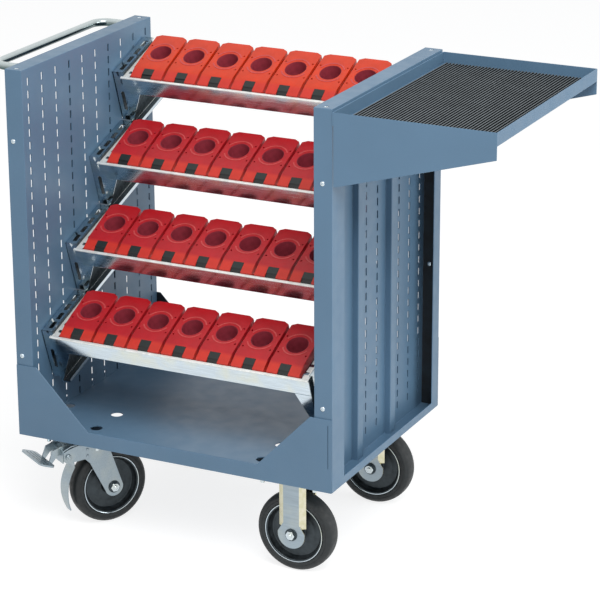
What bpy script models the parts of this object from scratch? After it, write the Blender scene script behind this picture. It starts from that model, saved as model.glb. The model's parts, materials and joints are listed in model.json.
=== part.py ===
"""Tool cart with four tilted racks of tool inserts, a push handle and a side tray.

Lengths are in metres and +Z is up. The origin is on the floor, in the middle of the cart's length
and depth. Rack pieces are drawn in a frame that lies on the rack: X runs along the cart, Y runs up
the slope from the front edge, and Z stands off the slope.
"""
import math

import bmesh
import bpy
from mathutils import Matrix, Vector

# Driving sizes
body_width = 0.684
body_depth = 0.500
body_height = 0.740
caster_height = 0.200
sheet = 0.002
clearance = 0.0003
smooth_angle = math.radians(30.0)
cut_overrun = 0.002
weld_distance = 0.00001
corner_grid = 0.000001

# Side panels
panel_depth = 0.037
panel_return = 0.035
panel_end_return = 0.016
stiffener_width = 0.024
stiffener_depth = 0.013
stiffener_inset = 0.175
slot_width = 0.005
slot_height = 0.015
slot_column_first = 0.025
slot_column_pitch = 0.050
slot_columns = 10
slot_top_inset = 0.026
slot_row_pitch = 0.075
slot_rows = 9

# Base
base_height = 0.030
caster_flange = 0.125
gusset_height = 0.147
gusset_reach = 0.158
gusset_top = 0.045
access_hole = 0.024
caster_inset_x = 0.105
caster_inset_y = 0.070
bolt_spacing_x = 0.110
bolt_spacing_y = 0.080

# Push handle
handle_diameter = 0.016
handle_reach = 0.057
handle_span = 0.400
handle_bend = 0.030
handle_bend_steps = 5
handle_sides = 3

# Side tray
tray_reach = 0.316
tray_depth = 0.025
tray_drop = 0.005
bracket_inner_height = 0.138
bracket_outer_height = 0.050
mat_thickness = 0.0025
mat_inset = 0.004
rib_pitch = 0.0068
rib_height = 0.0015

# Racks
rack_count = 4
rack_tilt = math.radians(19.0)
rack_first_y = 0.030
rack_first_z = 0.211
rack_pitch_y = 0.100
rack_pitch_z = 0.150
rack_side_gap = 0.025
rack_length = 0.132
rail_drop = 0.006
rail_height = 0.036
rail_flange = 0.012
side_height = 0.113
side_top_flange = 0.016
side_bottom_flange = 0.020
ear_width = 0.034
bracket_start = 0.007
bracket_height = 0.114

# Tool inserts, whose heights are measured up from the underside
insert_pitch = 0.075
insert_gap = 0.003
insert_drop = 0.010
insert_nose_height = 0.0085
insert_lead_in = 0.027
insert_lead_height = 0.0175
insert_back_height = 0.0278
insert_bore = 0.044
insert_bore_from_front = 0.073
insert_back_radius = 0.060
insert_back_steps = 6
insert_ring = 0.054
insert_ring_recess = 0.002
insert_tube = 0.028
notch_width = 0.023
notch_length = 0.0215
notch_floor = 0.004
insert_sides = 12

# Casters
plate_length = 0.136
plate_width = 0.110
plate_thickness = 0.004
wheel_diameter = 0.160
wheel_width = 0.040
rim_diameter = 0.122
rim_lip = 0.005
rim_web = 0.010
hub_diameter = 0.034
axle_diameter = 0.012
axle_head_diameter = 0.020
axle_head = 0.007
fork_gap = 0.054
fork_sheet = 0.003
fixed_fork_width = 0.057
fixed_fork_edge = 0.006
wheel_sides = 20
axle_sides = 8
tyre_round = 0.006

# Swivel casters with a brake
swivel_trail = 0.050
swivel_yaw = math.radians(57.0)
race_diameter = 0.074
race_height = 0.010
crown_diameter = 0.080
crown_sides = 16
swivel_leg_width = 0.056
swivel_leg_end = 0.040
tongue_reach = 0.050
tongue_width = 0.028
tongue_height = 0.016
pin_diameter = 0.006
pin_inset = 0.008
arm_height = 0.014
pedal_reach = 0.118
pedal_length = 0.034
pedal_width = 0.094
pedal_drop = 0.026
pedal_sheet = 0.004

# Places that follow from the sizes
handle_outer = handle_reach + handle_diameter / 2
cart_length = handle_outer + body_width + tray_reach
body_origin = Vector((handle_outer - cart_length / 2, -body_depth / 2, caster_height))
panel_y0 = sheet + clearance
panel_y1 = body_depth - panel_y0
floor_x0 = panel_depth + clearance
floor_x1 = body_width - floor_x0
handle_z = body_height - handle_diameter / 2
tray_top = body_height - tray_drop
tray_bottom = tray_top - tray_depth
tray_x0 = body_width + clearance
tray_x1 = body_width + tray_reach
rack_x0 = panel_depth + rack_side_gap
rack_x1 = body_width - rack_x0
insert_count = int((rack_x1 - rack_x0 - 2 * side_top_flange) / insert_pitch)
rack_step = rack_pitch_y * math.cos(rack_tilt) + rack_pitch_z * math.sin(rack_tilt)
bracket_end = rack_step - sheet - 2 * clearance
wheel_z = wheel_diameter / 2 - caster_height
plate_bottom = -clearance - plate_thickness
race_bottom = plate_bottom - race_height
crown_top = race_bottom - clearance
crown_bottom = crown_top - fork_sheet
fork_outer = fork_gap / 2 + fork_sheet
swivel_direction = Vector((math.cos(swivel_yaw), math.sin(swivel_yaw), 0))

# Turns that lay a flat outline or an upright axis along the cart's axes
ALONG_X = Matrix(((0, 0, 1, 0), (1, 0, 0, 0), (0, 1, 0, 0), (0, 0, 0, 1)))
ALONG_Y = Matrix(((1, 0, 0, 0), (0, 0, 1, 0), (0, 1, 0, 0), (0, 0, 0, 1)))
ALONG_Z = Matrix.Identity(4)


def clear_scene():
    for obj in list(bpy.data.objects):
        bpy.data.objects.remove(obj, do_unlink=True)


def new_collection(name):
    collection = bpy.data.collections.new(name)
    bpy.context.scene.collection.children.link(collection)
    return collection


def new_material(name, colour, roughness, metallic):
    material = bpy.data.materials.new(name)
    material.use_nodes = True
    shader = material.node_tree.nodes["Principled BSDF"]
    shader.inputs["Base Color"].default_value = (*colour, 1)
    shader.inputs["Roughness"].default_value = roughness
    shader.inputs["Metallic"].default_value = metallic
    return material


def mesh_object(name, mesh):
    obj = bpy.data.objects.new(name, mesh)
    parts.objects.link(obj)
    return obj


def evaluated_mesh(obj):
    """The mesh that the object's curve or modifiers make, with curve caps welded."""
    graph = bpy.context.evaluated_depsgraph_get()
    mesh = bpy.data.meshes.new_from_object(obj.evaluated_get(graph))
    shape = bmesh.new()
    shape.from_mesh(mesh)
    bmesh.ops.remove_doubles(shape, verts=shape.verts, dist=weld_distance)
    shape.to_mesh(mesh)
    shape.free()
    return mesh


def solid(name, mesh):
    """A mesh object with outward faces, whose corners lie on a fine grid so that flush faces are flush."""
    shape = bmesh.new()
    shape.from_mesh(mesh)
    for vertex in shape.verts:
        vertex.co = [round(value / corner_grid) * corner_grid for value in vertex.co]
    bmesh.ops.recalc_face_normals(shape, faces=shape.faces)
    shape.to_mesh(mesh)
    shape.free()
    return mesh_object(name, mesh)


def boxes(spans):
    """One mesh object with a box for each pair of low and high corners."""
    shape = bmesh.new()
    for low, high in spans:
        low = Vector(low)
        size = Vector(high) - low
        matrix = Matrix.Translation(low + size / 2) @ Matrix.Diagonal((*size, 1))
        bmesh.ops.create_cube(shape, size=1, matrix=matrix)
    mesh = bpy.data.meshes.new("boxes")
    shape.to_mesh(mesh)
    shape.free()
    return solid("boxes", mesh)


def bar(outline, start, end, axis):
    """A flat outline drawn from start to end along an axis.

    The outline is in (Y, Z) along X, in (X, Z) along Y and in (X, Y) along Z.
    """
    curve = bpy.data.curves.new("outline", "CURVE")
    curve.dimensions = "2D"
    curve.fill_mode = "BOTH"
    curve.extrude = (end - start) / 2
    spline = curve.splines.new("POLY")
    spline.points.add(len(outline) - 1)
    for point, (across, up) in zip(spline.points, outline):
        point.co = (across, up, 0, 1)
    spline.use_cyclic_u = True
    flat = mesh_object("outline", curve)
    mesh = evaluated_mesh(flat)
    bpy.data.objects.remove(flat)
    mesh.transform(axis @ Matrix.Translation((0, 0, (start + end) / 2)))
    return solid("bar", mesh)


def cylinder(diameter, start, end, axis, sides, centre=(0, 0, 0)):
    shape = bmesh.new()
    bmesh.ops.create_cone(shape, cap_ends=True, segments=sides, radius1=diameter / 2,
                          radius2=diameter / 2, depth=end - start,
                          matrix=Matrix.Translation((0, 0, (start + end) / 2)))
    mesh = bpy.data.meshes.new("cylinder")
    shape.to_mesh(mesh)
    shape.free()
    mesh.transform(Matrix.Translation(centre) @ axis)
    return solid("cylinder", mesh)


def turned(profile, sides, axis=ALONG_Z):
    """A closed profile of (radius, height) points turned round the Z axis."""
    mesh = bpy.data.meshes.new("profile")
    points = [(radius, 0, height) for radius, height in profile]
    edges = [(i, (i + 1) % len(points)) for i in range(len(points))]
    mesh.from_pydata(points, edges, [])
    obj = mesh_object("profile", mesh)
    screw = obj.modifiers.new("Screw", "SCREW")
    screw.steps = sides
    screw.render_steps = sides
    screw.use_merge_vertices = True
    screw.merge_threshold = weld_distance
    turned_mesh = evaluated_mesh(obj)
    bpy.data.objects.remove(obj)
    turned_mesh.transform(axis)
    return solid("turned", turned_mesh)


def combine(base, tool, operation):
    """Apply one boolean with the exact solver and drop the tool."""
    modifier = base.modifiers.new("Boolean", "BOOLEAN")
    modifier.operation = operation
    modifier.object = tool
    modifier.solver = "EXACT"
    mesh = evaluated_mesh(base)
    base.modifiers.remove(modifier)
    base.data = mesh
    bpy.data.objects.remove(tool)
    return base


def fuse(pieces):
    base = pieces[0]
    for piece in pieces[1:]:
        combine(base, piece, "UNION")
    return base


def cut(base, tools):
    for tool in tools:
        combine(base, tool, "DIFFERENCE")
    return base


def finish(obj, name, material, location=(0, 0, 0), rotation=(0, 0, 0)):
    """Name a solid, give it its material and set it in the cart."""
    obj.name = name
    obj.data.name = name
    obj.data.materials.clear()
    obj.data.materials.append(material)
    obj.parent = cart
    obj.location = location
    obj.rotation_euler = rotation
    obj.data.shade_smooth()
    obj.data.set_sharp_from_angle(angle=smooth_angle)
    return obj


def copy_of(obj, name, location, rotation=(0, 0, 0)):
    twin = mesh_object(name, obj.data)
    twin.parent = cart
    twin.location = location
    twin.rotation_euler = rotation
    return twin


def mirror_x(outline, width):
    return [(width - x, other) for x, other in reversed(outline)]


def arc(centre, radius, first, last, steps):
    """Points on an arc from the first to the last angle, both included."""
    angles = [first + (last - first) * i / steps for i in range(steps + 1)]
    return [(centre[0] + radius * math.cos(a), centre[1] + radius * math.sin(a)) for a in angles]


def side_panel():
    """The left panel: a pan folded outwards, with two channels and the slotted sheet inside."""
    shell = boxes([((0, panel_y0, 0), (panel_depth, panel_y1, body_height))])
    inner_x = panel_depth - sheet
    cavity = boxes([((sheet, panel_y0 + sheet, sheet), (inner_x, panel_y1 - sheet, body_height - sheet))])
    window = boxes([((-cut_overrun, panel_y0 + panel_return, panel_end_return),
                     (sheet + cut_overrun, panel_y1 - panel_return, body_height - panel_end_return))])
    cut(shell, [cavity, window])
    for y in (stiffener_inset, body_depth - stiffener_inset):
        fuse([shell, stiffener(y)])
    return cut(shell, [slots()])


def stiffener(y):
    """An upright channel with its web on the slotted sheet and its flanges outwards."""
    back = panel_depth - sheet
    face = back - sheet
    tip = back - stiffener_depth
    near = y - stiffener_width / 2
    far = y + stiffener_width / 2
    outline = [(back + sheet / 2, near), (back + sheet / 2, far), (tip, far), (tip, far - sheet),
               (face, far - sheet), (face, near + sheet), (tip, near + sheet), (tip, near)]
    return bar(outline, sheet / 2, body_height - sheet / 2, ALONG_Z)


def slots():
    """The slots that the racks hook into, in every column that no channel backs."""
    spans = []
    for column in range(slot_columns):
        y = slot_column_first + column * slot_column_pitch
        if min(abs(y - stiffener_inset), abs(body_depth - stiffener_inset - y)) < stiffener_width / 2:
            continue
        for row in range(slot_rows):
            z = body_height - slot_top_inset - row * slot_row_pitch
            low = (panel_depth - sheet - cut_overrun, y - slot_width / 2, z - slot_height / 2)
            high = (panel_depth + cut_overrun, y + slot_width / 2, z + slot_height / 2)
            spans.append((low, high))
    return boxes(spans)


def base_floor():
    """The floor pan: one folded sheet with access holes over the caster bolts."""
    y0 = panel_y0
    y1 = panel_y1
    outline = [(y0 + caster_flange, 0), (y0, 0), (y0, base_height), (y1, base_height), (y1, 0),
               (y1 - caster_flange, 0), (y1 - caster_flange, sheet), (y1 - sheet, sheet),
               (y1 - sheet, base_height - sheet), (y0 + sheet, base_height - sheet),
               (y0 + sheet, sheet), (y0 + caster_flange, sheet)]
    pan = bar(outline, floor_x0, floor_x1, ALONG_X)
    for x in caster_xs:
        for y in caster_ys:
            for side_x in (-bolt_spacing_x / 2, bolt_spacing_x / 2):
                for side_y in (-bolt_spacing_y / 2, bolt_spacing_y / 2):
                    centre = (x + side_x, y + side_y, 0)
                    hole = cylinder(access_hole, base_height - sheet - cut_overrun,
                                    base_height + cut_overrun, ALONG_Z, axle_sides, centre)
                    cut(pan, [hole])
    return pan


def base_plate():
    """The plate across the front of the base, with a gusset up each side panel."""
    left = [(gusset_reach, base_height), (gusset_top, gusset_height), (0, gusset_height), (0, 0)]
    outline = left + mirror_x(left, body_width)
    return bar(outline, 0, sheet, ALONG_Y)


def push_handle():
    """A bent tube whose two ends stand on the left panel's top flange."""
    near = (body_depth - handle_span) / 2
    far = (body_depth + handle_span) / 2
    quarter = math.pi / 2
    bend_x = handle_bend - handle_reach
    points = [(-clearance, near)]
    points += arc((bend_x, near + handle_bend), handle_bend, -quarter, -2 * quarter, handle_bend_steps)
    points += arc((bend_x, far - handle_bend), handle_bend, 2 * quarter, quarter, handle_bend_steps)
    points += [(-clearance, far)]
    curve = bpy.data.curves.new("push_handle", "CURVE")
    curve.dimensions = "3D"
    curve.bevel_depth = handle_diameter / 2
    curve.bevel_resolution = handle_sides
    curve.use_fill_caps = True
    spline = curve.splines.new("POLY")
    spline.points.add(len(points) - 1)
    for point, (x, y) in zip(spline.points, points):
        point.co = (x, y, handle_z, 1)
    return mesh_object("push_handle", curve)


def tray_pan():
    """The tray with a tapered bracket plate along its front and its back edge."""
    pan = boxes([((tray_x0, 0, tray_bottom), (tray_x1, body_depth, tray_top))])
    hollow = boxes([((tray_x0 + sheet, sheet, tray_bottom + sheet),
                     (tray_x1 - sheet, body_depth - sheet, tray_top + cut_overrun))])
    cut(pan, [hollow])
    outline = [(tray_x0, tray_top), (tray_x0, tray_top - bracket_inner_height),
               (tray_x1, tray_top - bracket_outer_height), (tray_x1, tray_top)]
    front = bar(outline, 0, sheet, ALONG_Y)
    back = bar(outline, body_depth - sheet, body_depth, ALONG_Y)
    return fuse([pan, front, back])


def tray_mat():
    """The rubber mat: pointed ribs that run from front to back."""
    x0 = tray_x0 + sheet + mat_inset
    x1 = tray_x1 - sheet - clearance
    bottom = tray_bottom + sheet + clearance
    top = bottom + mat_thickness
    rib_count = round((x1 - x0) / rib_pitch)
    step = (x1 - x0) / rib_count
    outline = [(x1, bottom), (x0, bottom)]
    for i in range(rib_count):
        outline += [(x0 + i * step, top - rib_height), (x0 + (i + 0.5) * step, top)]
    outline += [(x1, top - rib_height)]
    return bar(outline, sheet + clearance, body_depth - sheet - clearance, ALONG_Y)


def support_frame():
    """A rack frame in the rack's own axes: rails, side channels and the wall brackets they hang on."""
    rail_top = -rail_drop
    rail_bottom = rail_top - rail_height
    seat = -insert_drop - clearance
    side_bottom = rail_top - side_height
    front = [(0, rail_bottom), (0, rail_top), (-sheet, rail_top), (-sheet, rail_bottom - sheet),
             (rail_flange, rail_bottom - sheet), (rail_flange, rail_bottom)]
    ledge = [(-sheet / 2, seat), (-sheet / 2, seat - sheet), (rail_flange, seat - sheet), (rail_flange, seat)]
    rear_face = rack_length - sheet
    rear = [(rear_face - rail_flange, seat), (rack_length, seat), (rack_length, rail_bottom),
            (rear_face, rail_bottom), (rear_face, seat - sheet), (rear_face - rail_flange, seat - sheet)]
    overlap = sheet / 2
    pieces = [bar(front, rack_x0, rack_x1, ALONG_X)]
    pieces += [bar(ledge, rack_x0 + overlap, rack_x1 - overlap, ALONG_X)]
    pieces += [bar(rear, rack_x0 + overlap, rack_x1 - overlap, ALONG_X)]
    channel = [(rack_x0, rail_top), (rack_x0, side_bottom), (rack_x0 + side_bottom_flange, side_bottom),
               (rack_x0 + side_bottom_flange, side_bottom + sheet), (rack_x0 + sheet, side_bottom + sheet),
               (rack_x0 + sheet, rail_top - sheet), (rack_x0 + side_top_flange, rail_top - sheet),
               (rack_x0 + side_top_flange, rail_top)]
    ear = [(rack_x0, rail_top), (rack_x0, side_bottom), (rack_x0 + ear_width, rail_bottom - sheet),
           (rack_x0 + ear_width, rail_top)]
    wall_x = panel_depth + clearance
    angle = [(wall_x, 0), (wall_x, -bracket_height), (wall_x + sheet, -bracket_height),
             (wall_x + sheet, -sheet), (rack_x0 + sheet, -sheet), (rack_x0 + sheet, 0)]
    neck = [(rack_x0, 0), (rack_x0, rail_top - overlap), (rack_x0 + sheet, rail_top - overlap),
            (rack_x0 + sheet, 0)]
    lug = [(wall_x, 0), (wall_x, -bracket_height), (rack_x0 + overlap, -bracket_height),
           (rack_x0 + overlap, 0)]
    for side in (lambda outline: outline, lambda outline: mirror_x(outline, body_width)):
        pieces += [bar(side(channel), -overlap, rack_length, ALONG_Y)]
        pieces += [bar(side(ear), -sheet, 0, ALONG_Y)]
        pieces += [bar(side(angle), bracket_start, bracket_end, ALONG_Y)]
        pieces += [bar(side(neck), bracket_start, rack_length, ALONG_Y)]
        pieces += [bar(side(lug), bracket_start, bracket_start + sheet, ALONG_Y)]
    return fuse(pieces)


def tool_insert():
    """An insert in the rack's own axes: a block with a sloped top over a bored tube.

    Its back end is round about the bore, and a notch for its clip is cut in its lead-in.
    """
    half = (insert_pitch - insert_gap) / 2
    bottom = -insert_drop
    front = clearance
    bore_y = front + insert_bore_from_front
    back = bore_y + insert_back_radius
    top = bottom + insert_back_height
    corner_angle = math.acos(half / insert_back_radius)
    outline = [(-half, front), (half, front)]
    outline += arc((0, bore_y), insert_back_radius, corner_angle, math.pi - corner_angle, insert_back_steps)
    block = bar(outline, bottom, top, ALONG_Z)
    tube = cylinder(insert_ring, bottom - insert_tube, bottom + insert_lead_height - insert_ring_recess,
                    ALONG_Z, insert_sides, (0, bore_y, 0))
    slope = [(front, bottom + insert_nose_height), (front + insert_lead_in, bottom + insert_lead_height),
             (back, top), (back, top + cut_overrun), (front - cut_overrun, top + cut_overrun),
             (front - cut_overrun, bottom + insert_nose_height)]
    above = bar(slope, -half - cut_overrun, half + cut_overrun, ALONG_X)
    bore = cylinder(insert_bore, bottom - insert_tube - cut_overrun, top + cut_overrun, ALONG_Z,
                    insert_sides, (0, bore_y, 0))
    notch = boxes([((-notch_width / 2, front - cut_overrun, bottom + notch_floor),
                    (notch_width / 2, front + notch_length, top + cut_overrun))])
    return cut(fuse([block, tube]), [above, bore, notch])


def wheel_rim():
    """The wheel's centre with its hub, turned round the axle."""
    hub = fork_gap / 2 - clearance
    bore = axle_diameter / 2 + clearance
    half = wheel_width / 2
    rim = rim_diameter / 2
    inner = rim - rim_lip
    core = hub_diameter / 2
    web = rim_web / 2
    profile = [(bore, hub), (core, hub), (core, web), (inner, web), (inner, half), (rim, half),
               (rim, -half), (inner, -half), (inner, -web), (core, -web), (core, -hub), (bore, -hub)]
    return turned(profile, wheel_sides, ALONG_Y)


def wheel_tyre():
    half = wheel_width / 2
    inner = rim_diameter / 2 + clearance
    outer = wheel_diameter / 2
    shoulder = outer - tyre_round
    edge = half - tyre_round
    profile = [(inner, half), (shoulder, half), (outer, edge), (outer, -edge), (shoulder, -half),
               (inner, -half)]
    return turned(profile, wheel_sides, ALONG_Y)


def wheel_axle():
    """The axle bolt with its head and nut outside the fork's legs."""
    reach = fork_outer + clearance
    bolt = cylinder(axle_diameter, -reach - axle_head / 2, reach + axle_head / 2, ALONG_Y, axle_sides)
    head = cylinder(axle_head_diameter, reach, reach + axle_head, ALONG_Y, axle_sides)
    nut = cylinder(axle_head_diameter, -reach - axle_head, -reach, ALONG_Y, axle_sides)
    return fuse([bolt, head, nut])


def axle_hole(centre):
    return cylinder(axle_diameter + 4 * clearance, -fork_outer - cut_overrun, fork_outer + cut_overrun,
                    ALONG_Y, axle_sides, centre)


def caster_plate():
    return boxes([((-plate_length / 2, -plate_width / 2, plate_bottom),
                   (plate_length / 2, plate_width / 2, -clearance))])


def fixed_fork():
    """The plate and two folded legs of a caster that doesn't swivel."""
    half = fixed_fork_width / 2
    pieces = [caster_plate()]
    flange = fork_outer - fixed_fork_edge
    inner = fork_gap / 2
    leg = [(-half, flange), (-half + fork_sheet, flange), (-half + fork_sheet, inner),
           (half - fork_sheet, inner), (half - fork_sheet, flange), (half, flange),
           (half, fork_outer), (-half, fork_outer)]
    end = arc((0, wheel_z), half, math.pi, 2 * math.pi, axle_sides)
    end += [(half, wheel_z + half), (-half, wheel_z + half)]
    for side in (1, -1):
        outline = [(x, side * y) for x, y in leg]
        span = sorted((side * inner, side * fork_outer))
        pieces += [bar(outline[::side], wheel_z + half, -clearance - plate_thickness / 2, ALONG_Z)]
        pieces += [bar(end, *span, ALONG_Y)]
    return cut(fuse(pieces), [axle_hole((0, 0, wheel_z))])


def swivel_plate():
    """The plate of a swivel caster with its ball race."""
    race = cylinder(race_diameter, race_bottom, plate_bottom + plate_thickness / 2, ALONG_Z, crown_sides)
    return fuse([caster_plate(), race])


def swivel_fork():
    """The turning fork: its crown, two raked legs and the tongue that carries the pedal."""
    leg_end = swivel_leg_end / 2
    half = swivel_leg_width / 2
    crown = cylinder(crown_diameter, crown_bottom, crown_top, ALONG_Z, crown_sides)
    outline = arc((swivel_trail, wheel_z), leg_end, math.pi, 2 * math.pi, axle_sides)
    outline += [(half, crown_bottom + fork_sheet / 2), (-half, crown_bottom + fork_sheet / 2)]
    pieces = [crown]
    for span in ((fork_gap / 2, fork_outer), (-fork_outer, -fork_gap / 2)):
        pieces += [bar(outline, *span, ALONG_Y)]
    tongue = boxes([((-tongue_reach, -tongue_width / 2, crown_top - tongue_height),
                     (-half, tongue_width / 2, crown_top - clearance))])
    pieces += [tongue]
    pin_hole = cylinder(pin_diameter + 4 * clearance, -tongue_width, tongue_width, ALONG_Y, axle_sides,
                        pedal_pivot)
    return cut(fuse(pieces), [axle_hole((swivel_trail, 0, wheel_z)), pin_hole])


def brake_pedal():
    """The brake pedal, drawn round its pin at the front of the fork."""
    reach = pedal_reach + pedal_pivot.x
    root = reach - pedal_length
    arm = arc((0, 0), arm_height / 2, -math.pi / 2, math.pi / 2, axle_sides // 2)
    arm += [(-root, arm_height / 2 - pedal_drop), (-reach, arm_height / 2 - pedal_drop),
            (-reach, -arm_height / 2 - pedal_drop), (-root, -arm_height / 2 - pedal_drop)]
    inner = tongue_width / 2 + clearance
    outer = inner + fork_sheet
    plate = boxes([((-reach, -pedal_width / 2, arm_height / 2 - pedal_drop - pedal_sheet),
                    (-root, pedal_width / 2, arm_height / 2 - pedal_drop))])
    pin = cylinder(pin_diameter, -outer + fork_sheet / 2, outer - fork_sheet / 2, ALONG_Y, axle_sides)
    return fuse([plate, bar(arm, inner, outer, ALONG_Y), bar(arm, -outer, -inner, ALONG_Y), pin])


def add_rack(row):
    """One rack frame with its inserts, tilted about its front edge."""
    edge = Vector((0, rack_first_y + row * rack_pitch_y, rack_first_z + row * rack_pitch_z))
    tilt = (rack_tilt, 0, 0)
    copy_of(frame_shape, f"support_frame_{row + 1}", edge, tilt)
    shape = insert_top if row == rack_count - 1 else insert_lower
    for column in range(insert_count):
        x = body_width / 2 + (column - (insert_count - 1) / 2) * insert_pitch
        copy_of(shape, f"tool_insert_{row + 1}_{column + 1}", edge + Vector((x, 0, 0)), tilt)


def add_wheel(name, centre, turn):
    for part, shape in (("rim", rim_shape), ("tyre", tyre_shape), ("axle", axle_shape)):
        copy_of(shape, f"{part}_{name}", centre, turn)


def add_fixed_caster(name, x, y):
    copy_of(fixed_shape, f"fixed_fork_{name}", (x, y, 0))
    add_wheel(name, (x, y, wheel_z), (0, 0, 0))


def add_swivel_caster(name, x, y):
    turn = (0, 0, swivel_yaw)
    head = Vector((x, y, 0))
    copy_of(swivel_plate_shape, f"swivel_plate_{name}", head)
    copy_of(swivel_fork_shape, f"swivel_fork_{name}", head, turn)
    pivot = Matrix.Rotation(swivel_yaw, 4, "Z") @ pedal_pivot
    copy_of(pedal_shape, f"brake_pedal_{name}", head + pivot, turn)
    add_wheel(name, head + swivel_trail * swivel_direction + Vector((0, 0, wheel_z)), turn)


clear_scene()
parts = new_collection("tool_cart")
cart = bpy.data.objects.new("cart_frame", None)
parts.objects.link(cart)
cart.location = body_origin

caster_xs = (caster_inset_x, body_width - caster_inset_x)
caster_ys = (caster_inset_y, body_depth - caster_inset_y)
pedal_pivot = Vector((pin_inset - tongue_reach, 0, crown_top - tongue_height / 2))

blue = new_material("blue_paint", (0.13, 0.23, 0.33), 0.45, 0.0)
zinc = new_material("zinc_plate", (0.62, 0.66, 0.68), 0.35, 0.9)
chrome = new_material("chrome", (0.8, 0.82, 0.84), 0.12, 1.0)
orange = new_material("orange_plastic", (0.72, 0.09, 0.03), 0.4, 0.0)
red = new_material("red_plastic", (0.55, 0.02, 0.02), 0.4, 0.0)
mat_rubber = new_material("mat_rubber", (0.02, 0.02, 0.02), 0.8, 0.0)
tyre_rubber = new_material("tyre_rubber", (0.03, 0.035, 0.035), 0.75, 0.0)
rim_metal = new_material("rim_metal", (0.25, 0.27, 0.27), 0.5, 0.6)

panel = finish(side_panel(), "side_panel_left", blue)
copy_of(panel, "side_panel_right", (body_width, body_depth, 0), (0, 0, math.pi))
finish(base_floor(), "base_floor", blue)
plate = finish(base_plate(), "base_front_plate", blue)
copy_of(plate, "base_rear_plate", (0, body_depth - sheet, 0))
handle = push_handle()
handle.parent = cart
handle.data.materials.append(chrome)
finish(tray_pan(), "tray_pan", blue)
finish(tray_mat(), "tray_mat", mat_rubber)

frame_shape = finish(support_frame(), "frame_shape", zinc)
insert_lower = finish(tool_insert(), "insert_lower", red)
insert_top = finish(tool_insert(), "insert_top", orange)
for row in range(rack_count):
    add_rack(row)

fixed_shape = finish(fixed_fork(), "fixed_shape", zinc)
swivel_plate_shape = finish(swivel_plate(), "swivel_plate_shape", zinc)
swivel_fork_shape = finish(swivel_fork(), "swivel_fork_shape", zinc)
pedal_shape = finish(brake_pedal(), "pedal_shape", zinc)
rim_shape = finish(wheel_rim(), "rim_shape", rim_metal)
tyre_shape = finish(wheel_tyre(), "tyre_shape", tyre_rubber)
axle_shape = finish(wheel_axle(), "axle_shape", zinc)
for end, caster_y in zip(("front", "rear"), caster_ys):
    add_swivel_caster(f"left_{end}", caster_xs[0], caster_y)
    add_fixed_caster(f"right_{end}", caster_xs[1], caster_y)

for shape in (frame_shape, insert_lower, insert_top, fixed_shape, swivel_plate_shape,
              swivel_fork_shape, pedal_shape, rim_shape, tyre_shape, axle_shape):
    bpy.data.objects.remove(shape)
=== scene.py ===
import json
import math

import bmesh
import bpy
from bpy.props import FloatProperty, FloatVectorProperty, IntProperty, PointerProperty
from mathutils import Matrix, Vector

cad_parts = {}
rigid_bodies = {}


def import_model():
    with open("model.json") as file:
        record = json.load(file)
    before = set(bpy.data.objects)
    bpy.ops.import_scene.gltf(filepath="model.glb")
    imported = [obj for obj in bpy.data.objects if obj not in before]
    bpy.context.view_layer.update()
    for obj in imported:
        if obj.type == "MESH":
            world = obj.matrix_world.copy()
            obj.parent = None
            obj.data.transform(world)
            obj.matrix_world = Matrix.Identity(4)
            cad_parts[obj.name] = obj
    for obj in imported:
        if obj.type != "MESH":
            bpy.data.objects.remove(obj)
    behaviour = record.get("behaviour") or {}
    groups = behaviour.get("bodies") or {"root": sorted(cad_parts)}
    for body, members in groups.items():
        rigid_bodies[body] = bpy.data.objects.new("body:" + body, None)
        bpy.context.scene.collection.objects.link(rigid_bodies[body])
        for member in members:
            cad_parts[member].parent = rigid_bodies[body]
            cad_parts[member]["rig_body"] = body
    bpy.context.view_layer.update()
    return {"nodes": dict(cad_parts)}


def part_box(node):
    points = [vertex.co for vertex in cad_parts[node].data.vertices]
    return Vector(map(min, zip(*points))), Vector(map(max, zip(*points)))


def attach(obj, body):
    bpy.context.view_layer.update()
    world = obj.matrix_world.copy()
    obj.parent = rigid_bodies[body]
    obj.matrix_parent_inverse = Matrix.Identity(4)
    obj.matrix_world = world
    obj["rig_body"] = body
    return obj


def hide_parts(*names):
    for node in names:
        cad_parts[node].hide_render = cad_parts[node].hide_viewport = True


bl_info = {
    "name": "Tool Cart Looks",
    "version": (1, 0, 0),
    "blender": (4, 5, 0),
    "location": "View3D > Sidebar > Tool Cart",
    "description": "Dresses the packed tool cart with its finished pieces, materials and studio",
    "category": "Object",
}

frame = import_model()

# Cart sizes, in metres, the same as in the part's source where it has them. X runs from the left
# panel's outer face, Y from the front plate and Z from the bottom of the base.
body_width = 0.684
body_depth = 0.500
body_height = 0.740
sheet = 0.002
thin_sheet = 0.8 * sheet
small_bend = 0.0008
clearance = 0.0003
hair = 0.0001
overrun = 0.003
weld_distance = 0.00001
small_sides = 24
handle_reach = 0.05695
handle_span = 0.400
handle_straight = 0.012

# Side panels with their slots, hat channels and screws
panel_depth = 0.037
panel_return = 0.031
panel_wide_return = 0.053
panel_end_return = 0.016
slot_columns = 10
slot_rows = 28
slot_first_y = 0.025
slot_first_drop = 0.026
slot_corner = 0.0012
stiffener_inset = 0.175
stiffener_width = 0.024
stiffener_depth = 0.013
stiffener_foot = 0.009
stiffener_sheet = 0.7 * sheet
stiffener_bend = 0.0006
stiffener_top_gap = 0.022
panel_screw_y = 0.016
panel_screw_places_x = (0.0133, body_width - 0.0195)
panel_screw_places_z = (0.600, 0.166)
flange_screw_inset = 0.022
flange_screw_z = 0.300
flat_head_share = 0.07
seat_depth = 0.0015
seat_radius = 0.0054
seat_mouth = 0.0058

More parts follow.
